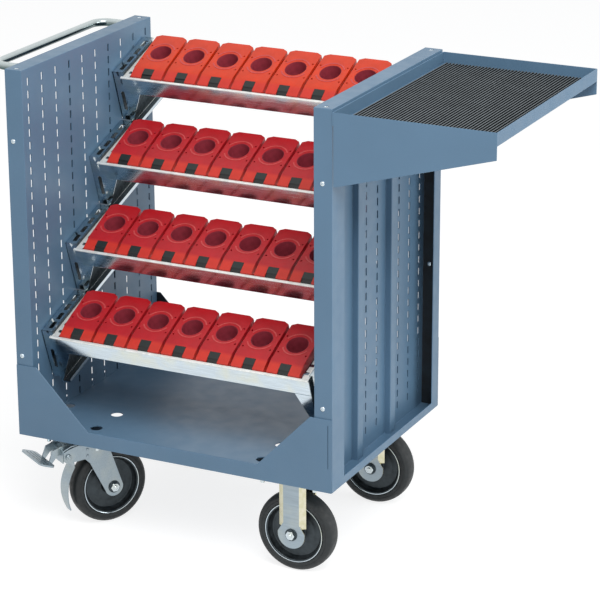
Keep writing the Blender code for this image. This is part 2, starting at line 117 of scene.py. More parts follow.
# Base with its two gusset plates, and the places of the casters under it
base_height = 0.030
caster_flange = 0.125
gusset_height = 0.147
gusset_reach = 0.158
gusset_top = 0.045
gusset_edge = 0.0006
joggle_start = 0.040
joggle_end = 0.044
joggle_step = 0.0005
slit_inset = 0.0088
slit_width = 0.0016
slit_bottom = 0.049
slit_top = 0.135
caster_inset_x = 0.105
caster_inset_y = 0.070
bolt_spacing_x = 0.110
bolt_spacing_y = 0.080
bolt_head = 0.013
bolt_diameter = 0.008
bolt_stem = 0.019
washer_radius = 0.0085
washer_thickness = 0.0014

# Tray and its mat
tray_depth = 0.025
tray_drop = 0.005
tray_reach = 0.316
tray_pan_inset = 0.0006
tray_plate_gap = 0.0028
tray_plate_drop = 0.0010
tray_plate_inset = 0.0002
bracket_inner_height = 0.138
bracket_outer_height = 0.050
bracket_foot = 0.006
mat_bottom = body_height - tray_drop - tray_depth + sheet + clearance
mat_top = mat_bottom + 0.0025
mat_base = 0.0005
mat_side_gap = 0.004
rib_flank = 0.0007

# Racks, in the frame that lies on the rack: X along the cart, Y up the slope, Z off the slope
rack_count = 4
rack_tilt = math.radians(19.0)
rack_first_y = 0.030
rack_first_z = 0.211
rack_pitch_y = 0.100
rack_pitch_z = 0.150
rack_x0 = panel_depth + 0.025
rack_x1 = body_width - rack_x0
rack_length = 0.132
rail_top = -0.006
rail_bottom = -0.042
side_bottom = -0.119
rack_step = rack_pitch_y * math.cos(rack_tilt) + rack_pitch_z * math.sin(rack_tilt)
bracket_start = 0.007
bracket_end = rack_step - sheet - 2 * clearance
bracket_height = 0.114
rail_foot = 0.012
rail_inset = 0.0006
rear_ledge = 0.014
channel_top = 0.016
channel_foot = 0.020
channel_lip = 0.009
ear_top = rail_top - 0.001
ear_reach = 0.034

# Tool inserts, in the same frame, and the clips in their notches
insert_count = 7
insert_pitch = 0.075
insert_gap = 0.0056
insert_bottom = -0.010
insert_front = clearance
insert_nose = insert_bottom + 0.0085
insert_lead_end = insert_front + 0.027
insert_lead_top = insert_bottom + 0.0175
insert_bore_y = insert_front + 0.073
insert_back_radius = 0.060
insert_back = insert_bore_y + insert_back_radius
insert_back_top = insert_bottom + 0.0278
insert_slope = math.atan2(insert_back_top - insert_lead_top, insert_back - insert_lead_end)
insert_straight_share = 0.4
notch_floor = insert_bottom + 0.004
notch_back = insert_front + 0.0215
pin_hole_x = 0.029
pin_hole_places = (0.0185, -0.0252)
pin_hole_depth = 0.006
rib_width = 0.0026
rib_half_angle = math.radians(64.0)
rib_sink = 0.0006
rib_rise = 0.0007
tube_wall = 0.0012
tube_outer = 0.027
tube_drop = 0.028
tube_shoulder = 0.002
tube_cone = 0.0045

# Casters, in a frame at the middle of the caster plate's top
plate_length = 0.136
plate_width = 0.110
plate_thickness = 0.004
plate_bottom = -clearance - plate_thickness
wheel_radius = 0.080
wheel_z = -0.120
fork_gap = 0.054
fork_sheet = 0.003
fork_outer = fork_gap / 2 + fork_sheet
axle_radius = 0.006
axle_hole = 0.0062
axle_washer = 0.0125
swivel_trail = 0.050
swivel_yaw = math.radians(57.0)
race_bottom = plate_bottom - 0.010
crown_top = race_bottom - clearance
crown_bottom = crown_top - fork_sheet
guard_radius = 0.0965
guard_sheet = 0.0025
guard_half_width = 0.0165
tongue_half_width = 0.014
tread_tilt = math.radians(20.0)
tread_half_width = 0.047
tread_length = 0.034
tread_drop = 0.026
pedal_reach = 0.118
pedal_pivot = Vector((-0.042, 0, crown_top - 0.008))

# The cart's own origin in the frame, and the places of its racks and casters
body_origin = Vector((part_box("side_panel_left")[0].x, -body_depth / 2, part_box("side_panel_left")[0].z))
CART = Matrix.Translation(body_origin)
caster_places = {
    "left_front": (caster_inset_x, caster_inset_y),
    "left_rear": (caster_inset_x, body_depth - caster_inset_y),
    "right_front": (body_width - caster_inset_x, caster_inset_y),
    "right_rear": (body_width - caster_inset_x, body_depth - caster_inset_y),
}

# Turns that lay a flat outline or an upright axis along the cart's axes, and one that turns the
# cart's front left corner to its rear right one
ALONG_X = Matrix(((0, 0, 1, 0), (1, 0, 0, 0), (0, 1, 0, 0), (0, 0, 0, 1)))
ALONG_Y = Matrix(((1, 0, 0, 0), (0, 0, 1, 0), (0, 1, 0, 0), (0, 0, 0, 1)))
ALONG_Z = Matrix.Identity(4)
HALF_TURN = Matrix.Translation((body_width, body_depth, 0)) @ Matrix.Rotation(math.pi, 4, "Z")


def linear(hex_colour):
    """An sRGB hex colour as linear red, green and blue."""
    values = [int(hex_colour[i:i + 2], 16) / 255 for i in (1, 3, 5)]
    return [v / 12.92 if v <= 0.04045 else ((v + 0.055) / 1.055) ** 2.4 for v in values]


def length_of(name, description, default):
    return FloatProperty(name=name, description=description, default=default, min=0.0, unit="LENGTH")


def colour_of(name, description, hex_colour):
    return FloatVectorProperty(name=name, description=description, subtype="COLOR", size=3, min=0.0,
                               max=1.0, default=linear(hex_colour))


def angle_of(name, description, degrees):
    return FloatProperty(name=name, description=description, default=math.radians(degrees),
                         subtype="ANGLE")


def power_of(name, description, default):
    return FloatProperty(name=name, description=description, default=default, min=0.0, subtype="POWER")


class CartSizes(bpy.types.PropertyGroup):
    slot_width: length_of("Slot width", "Width of the slots that the racks hook into", 0.0056)
    slot_height: length_of("Slot height", "Height of the slots that the racks hook into", 0.0155)
    slot_column_pitch: length_of("Slot column pitch", "Distance between columns of slots", 0.050)
    slot_row_pitch: length_of("Slot row pitch", "Distance between rows of slots", 0.025)
    fold_radius: length_of("Fold radius", "Outer radius of a fold in the painted sheet", 0.0022)
    access_hole: length_of("Access hole", "Holes in the base over the caster bolts", 0.024)
    handle_diameter: length_of("Handle diameter", "Diameter of the push handle's tube", 0.016)
    handle_bend: length_of("Handle bend", "Radius of the push handle's two bends", 0.030)
    screw_head: length_of("Screw head", "Diameter of the dome screws", 0.0095)
    rib_pitch: length_of("Rib pitch", "Distance between the ribs of the tray's mat", 0.0068)
    rib_crest: length_of("Rib crest", "Width of a rib's crest", 0.0020)


class RackSizes(bpy.types.PropertyGroup):
    hem: length_of("Hem", "Width of the flat hem along the front rail's top", 0.0062)
    insert_bore: length_of("Bore", "Diameter of the bore that holds a tool", 0.044)
    insert_ring: length_of("Ring", "Diameter of the moulded ribs round the bore", 0.0585)
    insert_edge: length_of("Edge", "Rounding of the insert's edges", 0.0009)
    clip_width: length_of("Clip width", "Width of the black clip in the insert's front", 0.023)
    pin_hole: length_of("Pin hole", "Diameter of the four small holes round the bore", 0.0042)


class CasterSizes(bpy.types.PropertyGroup):
    rim_diameter: length_of("Rim diameter", "Diameter of the wheel's metal centre", 0.122)
    tyre_width: length_of("Tyre width", "Width of the tyre", 0.040)
    hub_diameter: length_of("Hub diameter", "Diameter of the wheel's hub", 0.034)
    wheel_sides: IntProperty(name="Wheel sides", description="Steps round a wheel", default=96, min=12)


class CartColours(bpy.types.PropertyGroup):
    paint: colour_of("Paint", "Powder coat of the body, base and tray", "#55738C")
    zinc: colour_of("Zinc", "Plated sheet of the racks and the screws", "#C6D2DA")
    caster_zinc: colour_of("Caster zinc", "Duller plated steel of the casters", "#98A5AD")
    chrome: colour_of("Chrome", "Plated tube of the push handle", "#C9D3D4")
    red: colour_of("Red inserts", "Plastic of the inserts in the lower three racks", "#A8121B")
    orange: colour_of("Orange inserts", "Plastic of the inserts in the top rack", "#C4330F")
    # The inserts' lighter front colour is painted light on their lead-in.
    front: colour_of("Insert fronts", "Lighter sloped front of the inserts", "#BC2A1B")
    # The ribs' lighter colour is a painted highlight.
    rib: colour_of("Ribs", "Raised ribs round the inserts' bores", "#BC4443")
    bore: colour_of("Bores", "Wall of the inserts' bores", "#8E2E3B")
    clip: colour_of("Clips", "Plastic clips in the inserts' fronts", "#121817")
    # The mat's grey crests are partly wear and partly a painted highlight.
    mat: colour_of("Mat", "Rubbed crests of the tray's ribbed rubber mat", "#5F6569")
    tyre: colour_of("Tyres", "Rubber of the tyres", "#12181A")
    rim: colour_of("Rims", "Pressed centres of the wheels", "#454C50")


class StageSizes(bpy.types.PropertyGroup):
    camera_place: FloatVectorProperty(name="Camera place", description="Where the camera stands",
                                      subtype="TRANSLATION", unit="LENGTH", default=(2.141, -4.270, 2.139))
    camera_yaw: angle_of("Camera yaw", "How far the camera stands to the right", 26.32)
    camera_pitch: angle_of("Camera pitch", "How far the camera looks down", 19.24)
    camera_roll: angle_of("Camera roll", "How far the camera leans", -0.25)
    camera_lens: FloatProperty(name="Lens", description="Focal length of the camera in millimetres",
                               subtype="DISTANCE_CAMERA", default=156.0)
    room_light: FloatProperty(name="Room light", description="Strength of the even light of the studio",
                              default=0.42, min=0.0)
    key_light: power_of("Key light", "Power of the large lamp above the front", 130.0)
    side_light: power_of("Side light", "Power of the lamp on the tray's side", 40.0)


# Shapes

def link(obj):
    bpy.context.scene.collection.objects.link(obj)
    return obj


def working(mesh):
    return link(bpy.data.objects.new("working", mesh))


def drop(*objects):
    for obj in objects:
        bpy.data.objects.remove(obj)


def changed(mesh, change):
    """The mesh after a change made on its editable form."""
    shape = bmesh.new()
    shape.from_mesh(mesh)
    change(shape)
    shape.to_mesh(mesh)
    shape.free()
    return mesh


def evaluated_mesh(obj):
    """The mesh that the object's curve or modifiers make, with curve caps welded."""
    graph = bpy.context.evaluated_depsgraph_get()
    mesh = bpy.data.meshes.new_from_object(obj.evaluated_get(graph))
    return changed(mesh, lambda shape: bmesh.ops.remove_doubles(shape, verts=shape.verts,
                                                                dist=weld_distance))


def solid(mesh):
    """A working object for a mesh, with its faces turned outwards."""
    return working(changed(mesh, lambda shape: bmesh.ops.recalc_face_normals(shape, faces=shape.faces)))


def boxes(spans):
    """One working object with a box for each pair of low and high corners."""
    def fill(shape):
        for low, high in spans:
            size = Vector(high) - Vector(low)
            matrix = Matrix.Translation(Vector(low) + size / 2) @ Matrix.Diagonal((*size, 1))
            bmesh.ops.create_cube(shape, size=1, matrix=matrix)
    return solid(changed(bpy.data.meshes.new("boxes"), fill))


def drawn(lines, cyclic, **settings):
    """The mesh that a curve with these settings makes of lines of points."""
    curve = bpy.data.curves.new("drawn", "CURVE")
    for name, value in settings.items():
        setattr(curve, name, value)
    for line in lines:
        spline = curve.splines.new("POLY")
        spline.points.add(len(line) - 1)
        for point, place in zip(spline.points, line):
            point.co = (*place, 1)
        spline.use_cyclic_u = cyclic
    obj = link(bpy.data.objects.new("drawn", curve))
    mesh = evaluated_mesh(obj)
    drop(obj)
    return mesh


def bar(outlines, start, end, axis):
    """Flat outlines drawn from start to end along an axis. An outline inside another one is a hole.

    The outlines are in (Y, Z) along X, in (X, Z) along Y and in (X, Y) along Z.
    """
    lines = [[(across, up, 0) for across, up in outline] for outline in outlines]
    mesh = drawn(lines, True, dimensions="2D", fill_mode="BOTH", extrude=(end - start) / 2)
    mesh.transform(axis @ Matrix.Translation((0, 0, (start + end) / 2)))
    return solid(mesh)


def arc(centre, radius, first, last, steps):
    """Points on an arc from the first to the last angle, both included."""
    angles = [first + (last - first) * i / steps for i in range(steps + 1)]
    return [(centre[0] + radius * math.cos(a), centre[1] + radius * math.sin(a)) for a in angles]


def ring(centre, radius, steps):
    return arc(centre, radius, 0, 2 * math.pi * (steps - 1) / steps, steps - 1)


def rounded_box(centre, width, height, radius, steps=3):
    """The outline of a rectangle with round corners."""
    points = []
    corners = ((1, 1, 0), (-1, 1, 1), (-1, -1, 2), (1, -1, 3))
    for side_x, side_y, quarter in corners:
        middle = (centre[0] + side_x * (width / 2 - radius), centre[1] + side_y * (height / 2 - radius))
        points += arc(middle, radius, quarter * math.pi / 2, (quarter + 1) * math.pi / 2, steps)
    return points


def folded(path, thickness, radius, steps=3):
    """The closed outline of a sheet folded along a path, with the sheet on the path's left."""
    line = [Vector(point) for point in path]
    near = [line[0]]
    far = [line[0] + thickness * left_of(line[1] - line[0])]
    for before, corner, after in zip(line, line[1:], line[2:]):
        into = (corner - before).normalized()
        out = (after - corner).normalized()
        turn = math.atan2(into.x * out.y - into.y * out.x, into.dot(out))
        near_radius = radius + thickness if turn > 0 else radius
        far_radius = radius if turn > 0 else radius + thickness
        reach = near_radius * math.tan(abs(turn) / 2)
        side = left_of(into) * math.copysign(1, turn)
        centre = corner - into * reach + side * near_radius
        for i in range(steps + 1):
            spoke = Matrix.Rotation(turn * i / steps, 2) @ -side
            near.append(centre + spoke * near_radius)
            far.append(centre + spoke * far_radius)
    near.append(line[-1])
    far.append(line[-1] + thickness * left_of(line[-1] - line[-2]))
    return [(point.x, point.y) for point in near + far[::-1]]


def left_of(direction):
    unit = direction.normalized()
    return Vector((-unit.y, unit.x))


def mirror_x(outline):
    return [(body_width - x, other) for x, other in reversed(outline)]


def turned(profile, sides, axis=ALONG_Z):
    """A closed profile of (radius, height) points turned round an axis."""
    mesh = bpy.data.meshes.new("profile")
    points = [(max(radius, 0.0), 0, height) for radius, height in profile]
    edges = [(i, (i + 1) % len(points)) for i in range(len(points))]
    mesh.from_pydata(points, edges, [])
    obj = modified(working(mesh), "SCREW", steps=sides, render_steps=sides, use_merge_vertices=True,
                   merge_threshold=weld_distance)
    result = moved(obj, axis).data
    drop(obj)
    return solid(result)


def round_profile(profile, radius, steps=3):
    """A closed profile with every corner rounded, less where its sides are short."""
    points = [Vector(point) for point in profile]
    made = []
    for i, corner in enumerate(points):
        before = points[i - 1] - corner
        after = points[(i + 1) % len(points)] - corner
        reach = min(radius, before.length * 0.45, after.length * 0.45)
        start = corner + before.normalized() * reach
        end = corner + after.normalized() * reach
        for k in range(steps + 1):
            t = k / steps
            made.append((1 - t) ** 2 * start + 2 * t * (1 - t) * corner + t ** 2 * end)
    return [(point.x, point.y) for point in made]


def tube(points, radius, steps):
    """A round bar along a line of points."""
    return solid(drawn([points], False, dimensions="3D", bevel_depth=radius, bevel_resolution=steps,
                       use_fill_caps=True))


def modified(obj, kind, **settings):
    """Apply one modifier to the object's mesh."""
    modifier = obj.modifiers.new(kind, kind)
    for name, value in settings.items():
        setattr(modifier, name, value)
    mesh = evaluated_mesh(obj)
    obj.modifiers.clear()
    obj.data = mesh
    return obj


def combine(base, tool, operation="DIFFERENCE"):
    """Apply one boolean with the exact solver and drop the tool."""
    modified(base, "BOOLEAN", operation=operation, object=tool, solver="EXACT")
    drop(tool)
    return base


def cut(base, outlines, start, end, axis):
    """Cut flat outlines out of a piece."""
    return combine(base, bar(outlines, start, end, axis))


def rounded(obj, radius, segments=2):
    """Round the sharp edges a little, as a press or a mould leaves them."""
    return modified(obj, "BEVEL", width=radius, segments=segments, limit_method="ANGLE",
                    angle_limit=math.radians(35.0))


def joined(pieces):
    """One object from several working objects, without cutting them."""
    def gather(shape):
        for piece in pieces:
            piece.data.transform(piece.matrix_world)
            shape.from_mesh(piece.data)
    mesh = changed(bpy.data.meshes.new("joined"), gather)
    drop(*pieces)
    return working(mesh)


def moved(obj, matrix):
    obj.data.transform(matrix)
    return obj


def shaded(obj, *names):
    """Give the object its finishes by their names, and soft shading between sharp edges."""
    obj.data.materials.clear()
    for name in names:
        obj.data.materials.append(finishes()[name])
    obj.data.shade_smooth()
    obj.data.set_sharp_from_angle(angle=math.radians(32.0))
    return modified(obj, "WEIGHTED_NORMAL", keep_sharp=True, weight=80)


def settle(obj, name, body, matrix, nodes=()):
    """Name a finished piece, set it in the cart and let it ride on its body."""
    obj.name = name
    obj.data.name = name
    obj.matrix_world = matrix
    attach(obj, body)
    if nodes:
        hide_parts(*nodes)
    return obj


def twin(obj):
    """A second object on the same mesh."""
    return working(obj.data)


def settle_turned(obj, name, body, matrix, nodes=()):
    """Settle a copy whose mesh holds the matrix's turn, so that its box lies along the cart's axes."""
    copy = moved(working(obj.data.copy()), matrix.to_3x3().to_4x4())
    return settle(copy, name, body, Matrix.Translation(matrix.translation), nodes)


# Materials

def add_node(tree, kind, settings=None):
    """A shader node with its settings, and a link for each value that is another node's output."""
    node = tree.nodes.new(kind)
    for name, value in (settings or {}).items():
        if isinstance(name, str) and hasattr(node, name):
            setattr(node, name, value)
        elif isinstance(value, bpy.types.NodeSocket):
            tree.links.new(value, node.inputs[name])
        else:
            socket = node.inputs[name]
            socket.default_value = (*value, 1) if socket.type == "RGBA" and len(value) == 3 else value
    return node


def shift(colour, amount):
    """The colour made lighter or darker by a share."""
    return [max(0.0, min(1.0, value * (1 + amount))) for value in colour]


class Finish:
    """A material in the making, with its typical roughness, metallic value and IOR on the shader."""

    def __init__(self, name, roughness, metallic=0.0, ior=None):
        self.material = bpy.data.materials.new(name)
        self.material.use_nodes = True
        self.tree = self.material.node_tree
        self.shader = self.tree.nodes["Principled BSDF"]
        self.shader.inputs["Roughness"].default_value = roughness
        self.shader.inputs["Metallic"].default_value = metallic
        if ior:
            self.shader.inputs["IOR"].default_value = ior
        self.place = add_node(self.tree, "ShaderNodeTexCoord").outputs["Object"]

    def feed(self, name, output):
        """Let a node's output drive a value of the shader."""
        self.tree.links.new(output, self.shader.inputs[name])

    def clouds(self, size_mm, detail=2.0, low=0, high=1, from_low=0.3, from_high=0.7, place=None):
        """A noise with features about size_mm wide, its middle spread between two values."""
        noise = add_node(self.tree, "ShaderNodeTexNoise",
                         {"Scale": 1000.0 / size_mm, "Detail": detail, "Vector": place or self.place})
        return add_node(self.tree, "ShaderNodeMapRange",
                        {"Value": noise.outputs["Fac"], "From Min": from_low, "From Max": from_high,
                         "To Min": low, "To Max": high}).outputs["Result"]

    def ramp(self, axis, start, end, low, high, vector=None):
        """A value that goes from low to high between two places on an axis of the piece."""
        split = add_node(self.tree, "ShaderNodeSeparateXYZ", {"Vector": vector or self.place})
        return add_node(self.tree, "ShaderNodeMapRange",
                        {"Value": split.outputs[axis], "From Min": start, "From Max": end,
                         "To Min": low, "To Max": high}).outputs["Result"]

    def drift(self, colour, darker, lighter, size_mm, detail=2.0, place=None):
        """The colour made darker and lighter by two shares, in clouds about size_mm wide."""
        return add_node(self.tree, "ShaderNodeMix",
                        {"data_type": "RGBA", 0: self.clouds(size_mm, detail, place=place),
                         6: shift(colour, -darker), 7: shift(colour, lighter)}).outputs[2]

    def colour_by(self, factor, first, second):
        """Let the finish's colour go from the first to the second by a factor."""
        mix = add_node(self.tree, "ShaderNodeMix", {"data_type": "RGBA", 0: factor, 6: first, 7: second})
        self.feed("Base Color", mix.outputs[2])

    def dent(self, size_mm, detail, distance_mm, strength, place=None):
        """Dent the surface with a grain about size_mm wide."""
        noise = add_node(self.tree, "ShaderNodeTexNoise",
                         {"Scale": 1000.0 / size_mm, "Detail": detail, "Vector": place or self.place})
        bump = add_node(self.tree, "ShaderNodeBump",
                        {"Strength": strength, "Distance": distance_mm / 1000.0,
                         "Height": noise.outputs["Fac"]})
        self.feed("Normal", bump.outputs["Normal"])


def powder_coat(colour):
    """Powder coated steel. The cured powder leaves a soft orange peel about 2 mm across, which
    breaks up the gloss, and the coat varies a little in tone over a panel."""
    coat = Finish("powder_coated_steel", 0.42, ior=1.5)
    speck = coat.clouds(1.6, 1.0, 0, 0.10, 0.45, 0.75)
    coat.colour_by(speck, coat.drift(colour, 0.05, 0.05, 160.0, 3.0), shift(colour, 0.5))
    coat.feed("Roughness", coat.clouds(30.0, low=0.36, high=0.48))
    coat.dent(2.2, 1.0, 0.05, 0.5)
    return coat.material


def painted_highlight_zinc():
    """Painted highlight: zinc plated edges painted a matt, creamy near-white along the racks' hems and the
    channels' top rims.
    """
    edge = Finish("zinc_edge_painted_highlight", 0.48, 0.55)
    # The near-white colours are a painted highlight.
    edge.colour_by(edge.clouds(12.0, 3.0), linear("#DDE0DC"), linear("#F2F3F0"))
    return edge.material


def painted_shade_paint():
    """Painted shade: powder coated steel painted near black for the insides of the panels' folds and hat
    channels and the rear gusset's inner face.
    """
    fold = Finish("powder_coat_painted_shade", 0.6, ior=1.5)
    # These two near-black colours are painted shade, not the coat's own colour.
    fold.colour_by(fold.clouds(30.0, 3.0), linear("#0C0F12"), linear("#1A242C"))
    return fold.material


def zinc_plate(name, colour, smoothest, roughest, yellowest=0.45):
    """Zinc plated steel sheet, passivated clear. It is bright and bluish with faint yellow clouds,
    and the rolled sheet leaves soft streaks along it."""
    zinc = Finish(name, 0.24, 1.0)
    along = add_node(zinc.tree, "ShaderNodeMapping",
                     {"Scale": (0.06, 1.0, 1.0), "Vector": zinc.place}).outputs["Vector"]
    streak = 2.4
    rolled = zinc.drift(colour, 0.10, 0.07, streak, place=along)
    zinc.colour_by(zinc.clouds(45.0, 3.0, 0, yellowest, 0.45, 0.72), rolled, linear("#D9D6B8"))
    zinc.feed("Roughness", zinc.clouds(streak, low=smoothest, high=roughest, place=along))
    zinc.dent(streak, 2.0, 0.02, 0.15, along)
    return zinc.material


def yellow_zinc():
    """Zinc plated edges with a yellow passivation, as on the folded edges of the fixed forks."""
    zinc = Finish("yellow_passivated_zinc", 0.36, 1.0)
    zinc.colour_by(zinc.clouds(9.0, 3.0), linear("#C9C6A4"), linear("#DCD8C4"))
    zinc.feed("Roughness", zinc.clouds(9.0, 3.0, 0.3, 0.44))
    return zinc.material


def chromed_tube(colour):
    """Chromed steel tube. Its polish leaves almost a mirror. Its colour is painted darker and greyer towards
    the underside, as painted shade."""
    chrome = Finish("chromed_steel_tube", 0.14, 1.0)
    normal = add_node(chrome.tree, "ShaderNodeNewGeometry").outputs["Normal"]
    # Painted shade: the colour darkens on faces that look downwards.
    under = chrome.ramp("Z", -0.35, 0.75, 1, 0, normal)
    chrome.colour_by(under, chrome.drift(colour, 0.12, 0, 4.0), linear("#4E6162"))
    chrome.feed("Roughness", chrome.clouds(4.0, low=0.10, high=0.20))
    return chrome.material


def moulded_insert(name, colour, front):
    """Injection moulded polypropylene with a fine spark-eroded grain of about 1 mm. The lead-in at the front
    is painted lighter and more orange, as painted light on it."""
    plastic = Finish(name, 0.40, ior=1.49)
    # Painted light: the front lead-in gets the lighter front colour.
    painted_lit_front = plastic.ramp("Y", 0.018, 0.025, 1, 0)
    plastic.colour_by(painted_lit_front, plastic.drift(colour, 0.10, 0.10, 26.0, 3.0),
                      plastic.drift(front, 0.08, 0.10, 26.0, 3.0))
    plastic.feed("Roughness", plastic.clouds(7.0, low=0.34, high=0.46))
    plastic.dent(1.1, 1.0, 0.03, 0.4)
    return plastic.material


def moulded_rib(colour):
    """A thin polypropylene rib. Its colour is lighter than the insert's, a painted highlight along its small
    radius, with faint clouds.
    """
    plastic = Finish("moulded_polypropylene_rib", 0.35, ior=1.49)
    plastic.feed("Base Color", plastic.drift(colour, 0.15, 0.15, 6.0))
    return plastic.material


def bore_wall(colour):
    """The moulded wall of the bore. It is turned smooth by the tool and lies in its own shade."""
    plastic = Finish("moulded_bore_wall", 0.5, ior=1.49)
    plastic.feed("Base Color", plastic.drift(colour, 0.12, 0.12, 9.0))
    return plastic.material


def black_clip(colour):
    """Moulded black acetal, dense and slightly waxy. Its tongue is painted a soft grey as a painted sheen,
    and its lower step stays black."""
    acetal = Finish("moulded_black_acetal", 0.38, ior=1.48)
    # Painted sheen: the tongue behind the step is lighter than the black front step.
    step = acetal.ramp("Y", 0.0072, 0.0092, 1, 0)
    acetal.colour_by(step, acetal.drift(colour, 0, 0.5, 3.0), linear("#080B0B"))
    acetal.dent(0.9, 1.0, 0.02, 0.4)
    return acetal.material


def mat_rubber(colour):
    """Extruded ribbed rubber. The crests of the ribs are painted grey, partly as rubbed wear and partly as a
    painted highlight, and the valleys between them are painted black with their gloss turned down, as
    painted shade."""
    rubber = Finish("extruded_ribbed_rubber", 0.8, ior=1.52)
    # By height: painted shade and less gloss in the valleys, grey on the crests.
    crest = (mat_top - 0.0006, mat_top - 0.0002)
    rubber.colour_by(rubber.ramp("Z", *crest, 0, 1), linear("#080B0C"),
                     rubber.drift(colour, 0.15, 0.15, 40.0, 4.0))
    rubber.feed("Specular IOR Level", rubber.ramp("Z", *crest, 0.05, 0.5))
    rubber.dent(1.4, 2.0, 0.03, 0.4)
    return rubber.material


def tyre_rubber(colour):
    """Vulcanised solid rubber. It has a dull sheen from wear and a grain of about 1.5 mm."""
    rubber = Finish("vulcanised_tyre_rubber", 0.55, ior=1.52)
    rubber.feed("Base Color", rubber.drift(colour, 0.15, 0.35, 18.0, 3.0))
    rubber.feed("Roughness", rubber.clouds(8.0, low=0.48, high=0.66))
    rubber.dent(1.5, 2.0, 0.06, 0.6)
    return rubber.material


def pressed_rim(colour):
    """Pressed steel wheel centre, zinc plated and dulled. It is grey with soft dark clouds."""
    steel = Finish("pressed_steel_rim", 0.45, 0.85)
    steel.feed("Base Color", steel.drift(colour, 0.35, 0.15, 14.0, 3.0))
    steel.feed("Roughness", steel.clouds(14.0, 3.0, 0.36, 0.55))
    steel.dent(3.0, 2.0, 0.05, 0.4)
    return steel.material


def dark_steel_and_painted_shade():
    """Oiled steel, dark grey with a dull gloss, for the axles' washers. Under the wall brackets the same
    dark grey is painted shade.
    """
    steel = Finish("oiled_steel_and_painted_shade", 0.45, 0.9)
    steel.colour_by(steel.clouds(5.0), linear("#2B3338"), linear("#535D63"))
    return steel.material


made_finishes = {}


def finishes():
    """The cart's materials by their plain names, made once."""
    if made_finishes:
        return made_finishes
    colours = bpy.context.scene.cart_colours
    made_finishes.update({
        "paint": powder_coat(colours.paint),
        "zinc": zinc_plate("bright_zinc_plated_steel", colours.zinc, 0.10, 0.18),
        # Painted shade for the hollows of the panels and the rear gusset.
        "shade": painted_shade_paint(),
        "painted_highlight": painted_highlight_zinc(),
        "caster_zinc": zinc_plate("dull_zinc_plated_steel", colours.caster_zinc, 0.28, 0.40, 0.2),
        "yellow": yellow_zinc(),
        "chrome": chromed_tube(colours.chrome),
        "red": moulded_insert("moulded_red_polypropylene", colours.red, colours.front),
        "orange": moulded_insert("moulded_orange_polypropylene", colours.orange, colours.front),
        "rib": moulded_rib(colours.rib),
        "bore": bore_wall(colours.bore),
        "clip": black_clip(colours.clip),
        "mat": mat_rubber(colours.mat),
        "tyre": tyre_rubber(colours.tyre),
        "rim": pressed_rim(colours.rim),
        "dark": dark_steel_and_painted_shade(),
    })
    return made_finishes


# Small pieces that several operators use

def dome_screw(diameter, height_share=0.22):
    """A dome head that stands on a sheet along +Z, with a hexagon socket in it."""
    height = diameter * height_share
    profile = [(0, 0), (diameter / 2, 0)]
    for i in range(7):
        angle = i / 6 * math.pi / 2
        profile.append((diameter / 2 * math.cos(angle), height * math.sin(angle)))
    head = turned(profile, 24)
    socket = bar([ring((0, 0), diameter * 0.2, 6)], height * 0.4, height + overrun, ALONG_Z)
    return combine(head, socket)


def hexagon_nut(width, height, bore):
    """A nut with chamfered corners along +Z and the end of its bolt in it."""
    nut = bar([ring((0, 0), width / 2 / math.cos(math.pi / 6), 6)], 0, height, ALONG_Z)
    crop = turned(round_profile([(0, -overrun), (width * 0.57, -overrun), (width * 0.57, height * 0.75),
                                 (width * 0.46, height), (0, height)], 0.0002, 1), 24)
    combine(nut, crop, "INTERSECT")
    bolt = turned([(0, height * 0.5), (bore / 2, height * 0.5), (bore / 2, height * 1.25),
                   (bore * 0.4, height * 1.4), (0, height * 1.4)], 16)
    return joined([nut, bolt])


def face_towards(direction, place):
    """A matrix that turns +Z to a direction and moves to a place."""
    return Matrix.Translation(place) @ Vector(direction).to_track_quat("Z", "Y").to_matrix().to_4x4()


def round_pin(radius, low, high, rounding, steps, sides, axis=ALONG_Z):
    """A straight pin round an axis, with rounded ends."""
    outline = [(0, low), (radius, low), (radius, high), (0, high)]
    return turned(round_profile(outline, rounding, steps), sides, axis)


def flat_washer(hole, radius, low, high, sides):
    """A washer along +Z with slightly rounded edges."""
    outline = [(hole, low), (radius, low), (radius, high), (hole, high)]
    return turned(round_profile(outline, 0.0003, 1), sides)


def bolt_places():
    """The places of a caster plate's four bolts, round the plate's middle."""
    return [(x * bolt_spacing_x / 2, y * bolt_spacing_y / 2) for x in (-1, 1) for y in (-1, 1)]


def paint_edges(obj, paint_face, index=1):
    """Give another of the object's materials to the faces that a test picks."""
    for face in obj.data.polygons:
        if paint_face(face):
            face.material_index = index
    return obj


# Body

def slot_outlines(sizes):
    """The outlines of all slots of a panel in (Y, Z)."""
    outlines = []
    for column in range(slot_columns):
        y = slot_first_y + column * sizes.slot_column_pitch
        for row in range(slot_rows):
            z = body_height - slot_first_drop - row * sizes.slot_row_pitch
            outlines.append(rounded_box((y, z), sizes.slot_width, sizes.slot_height, slot_corner, 2))
    return outlines


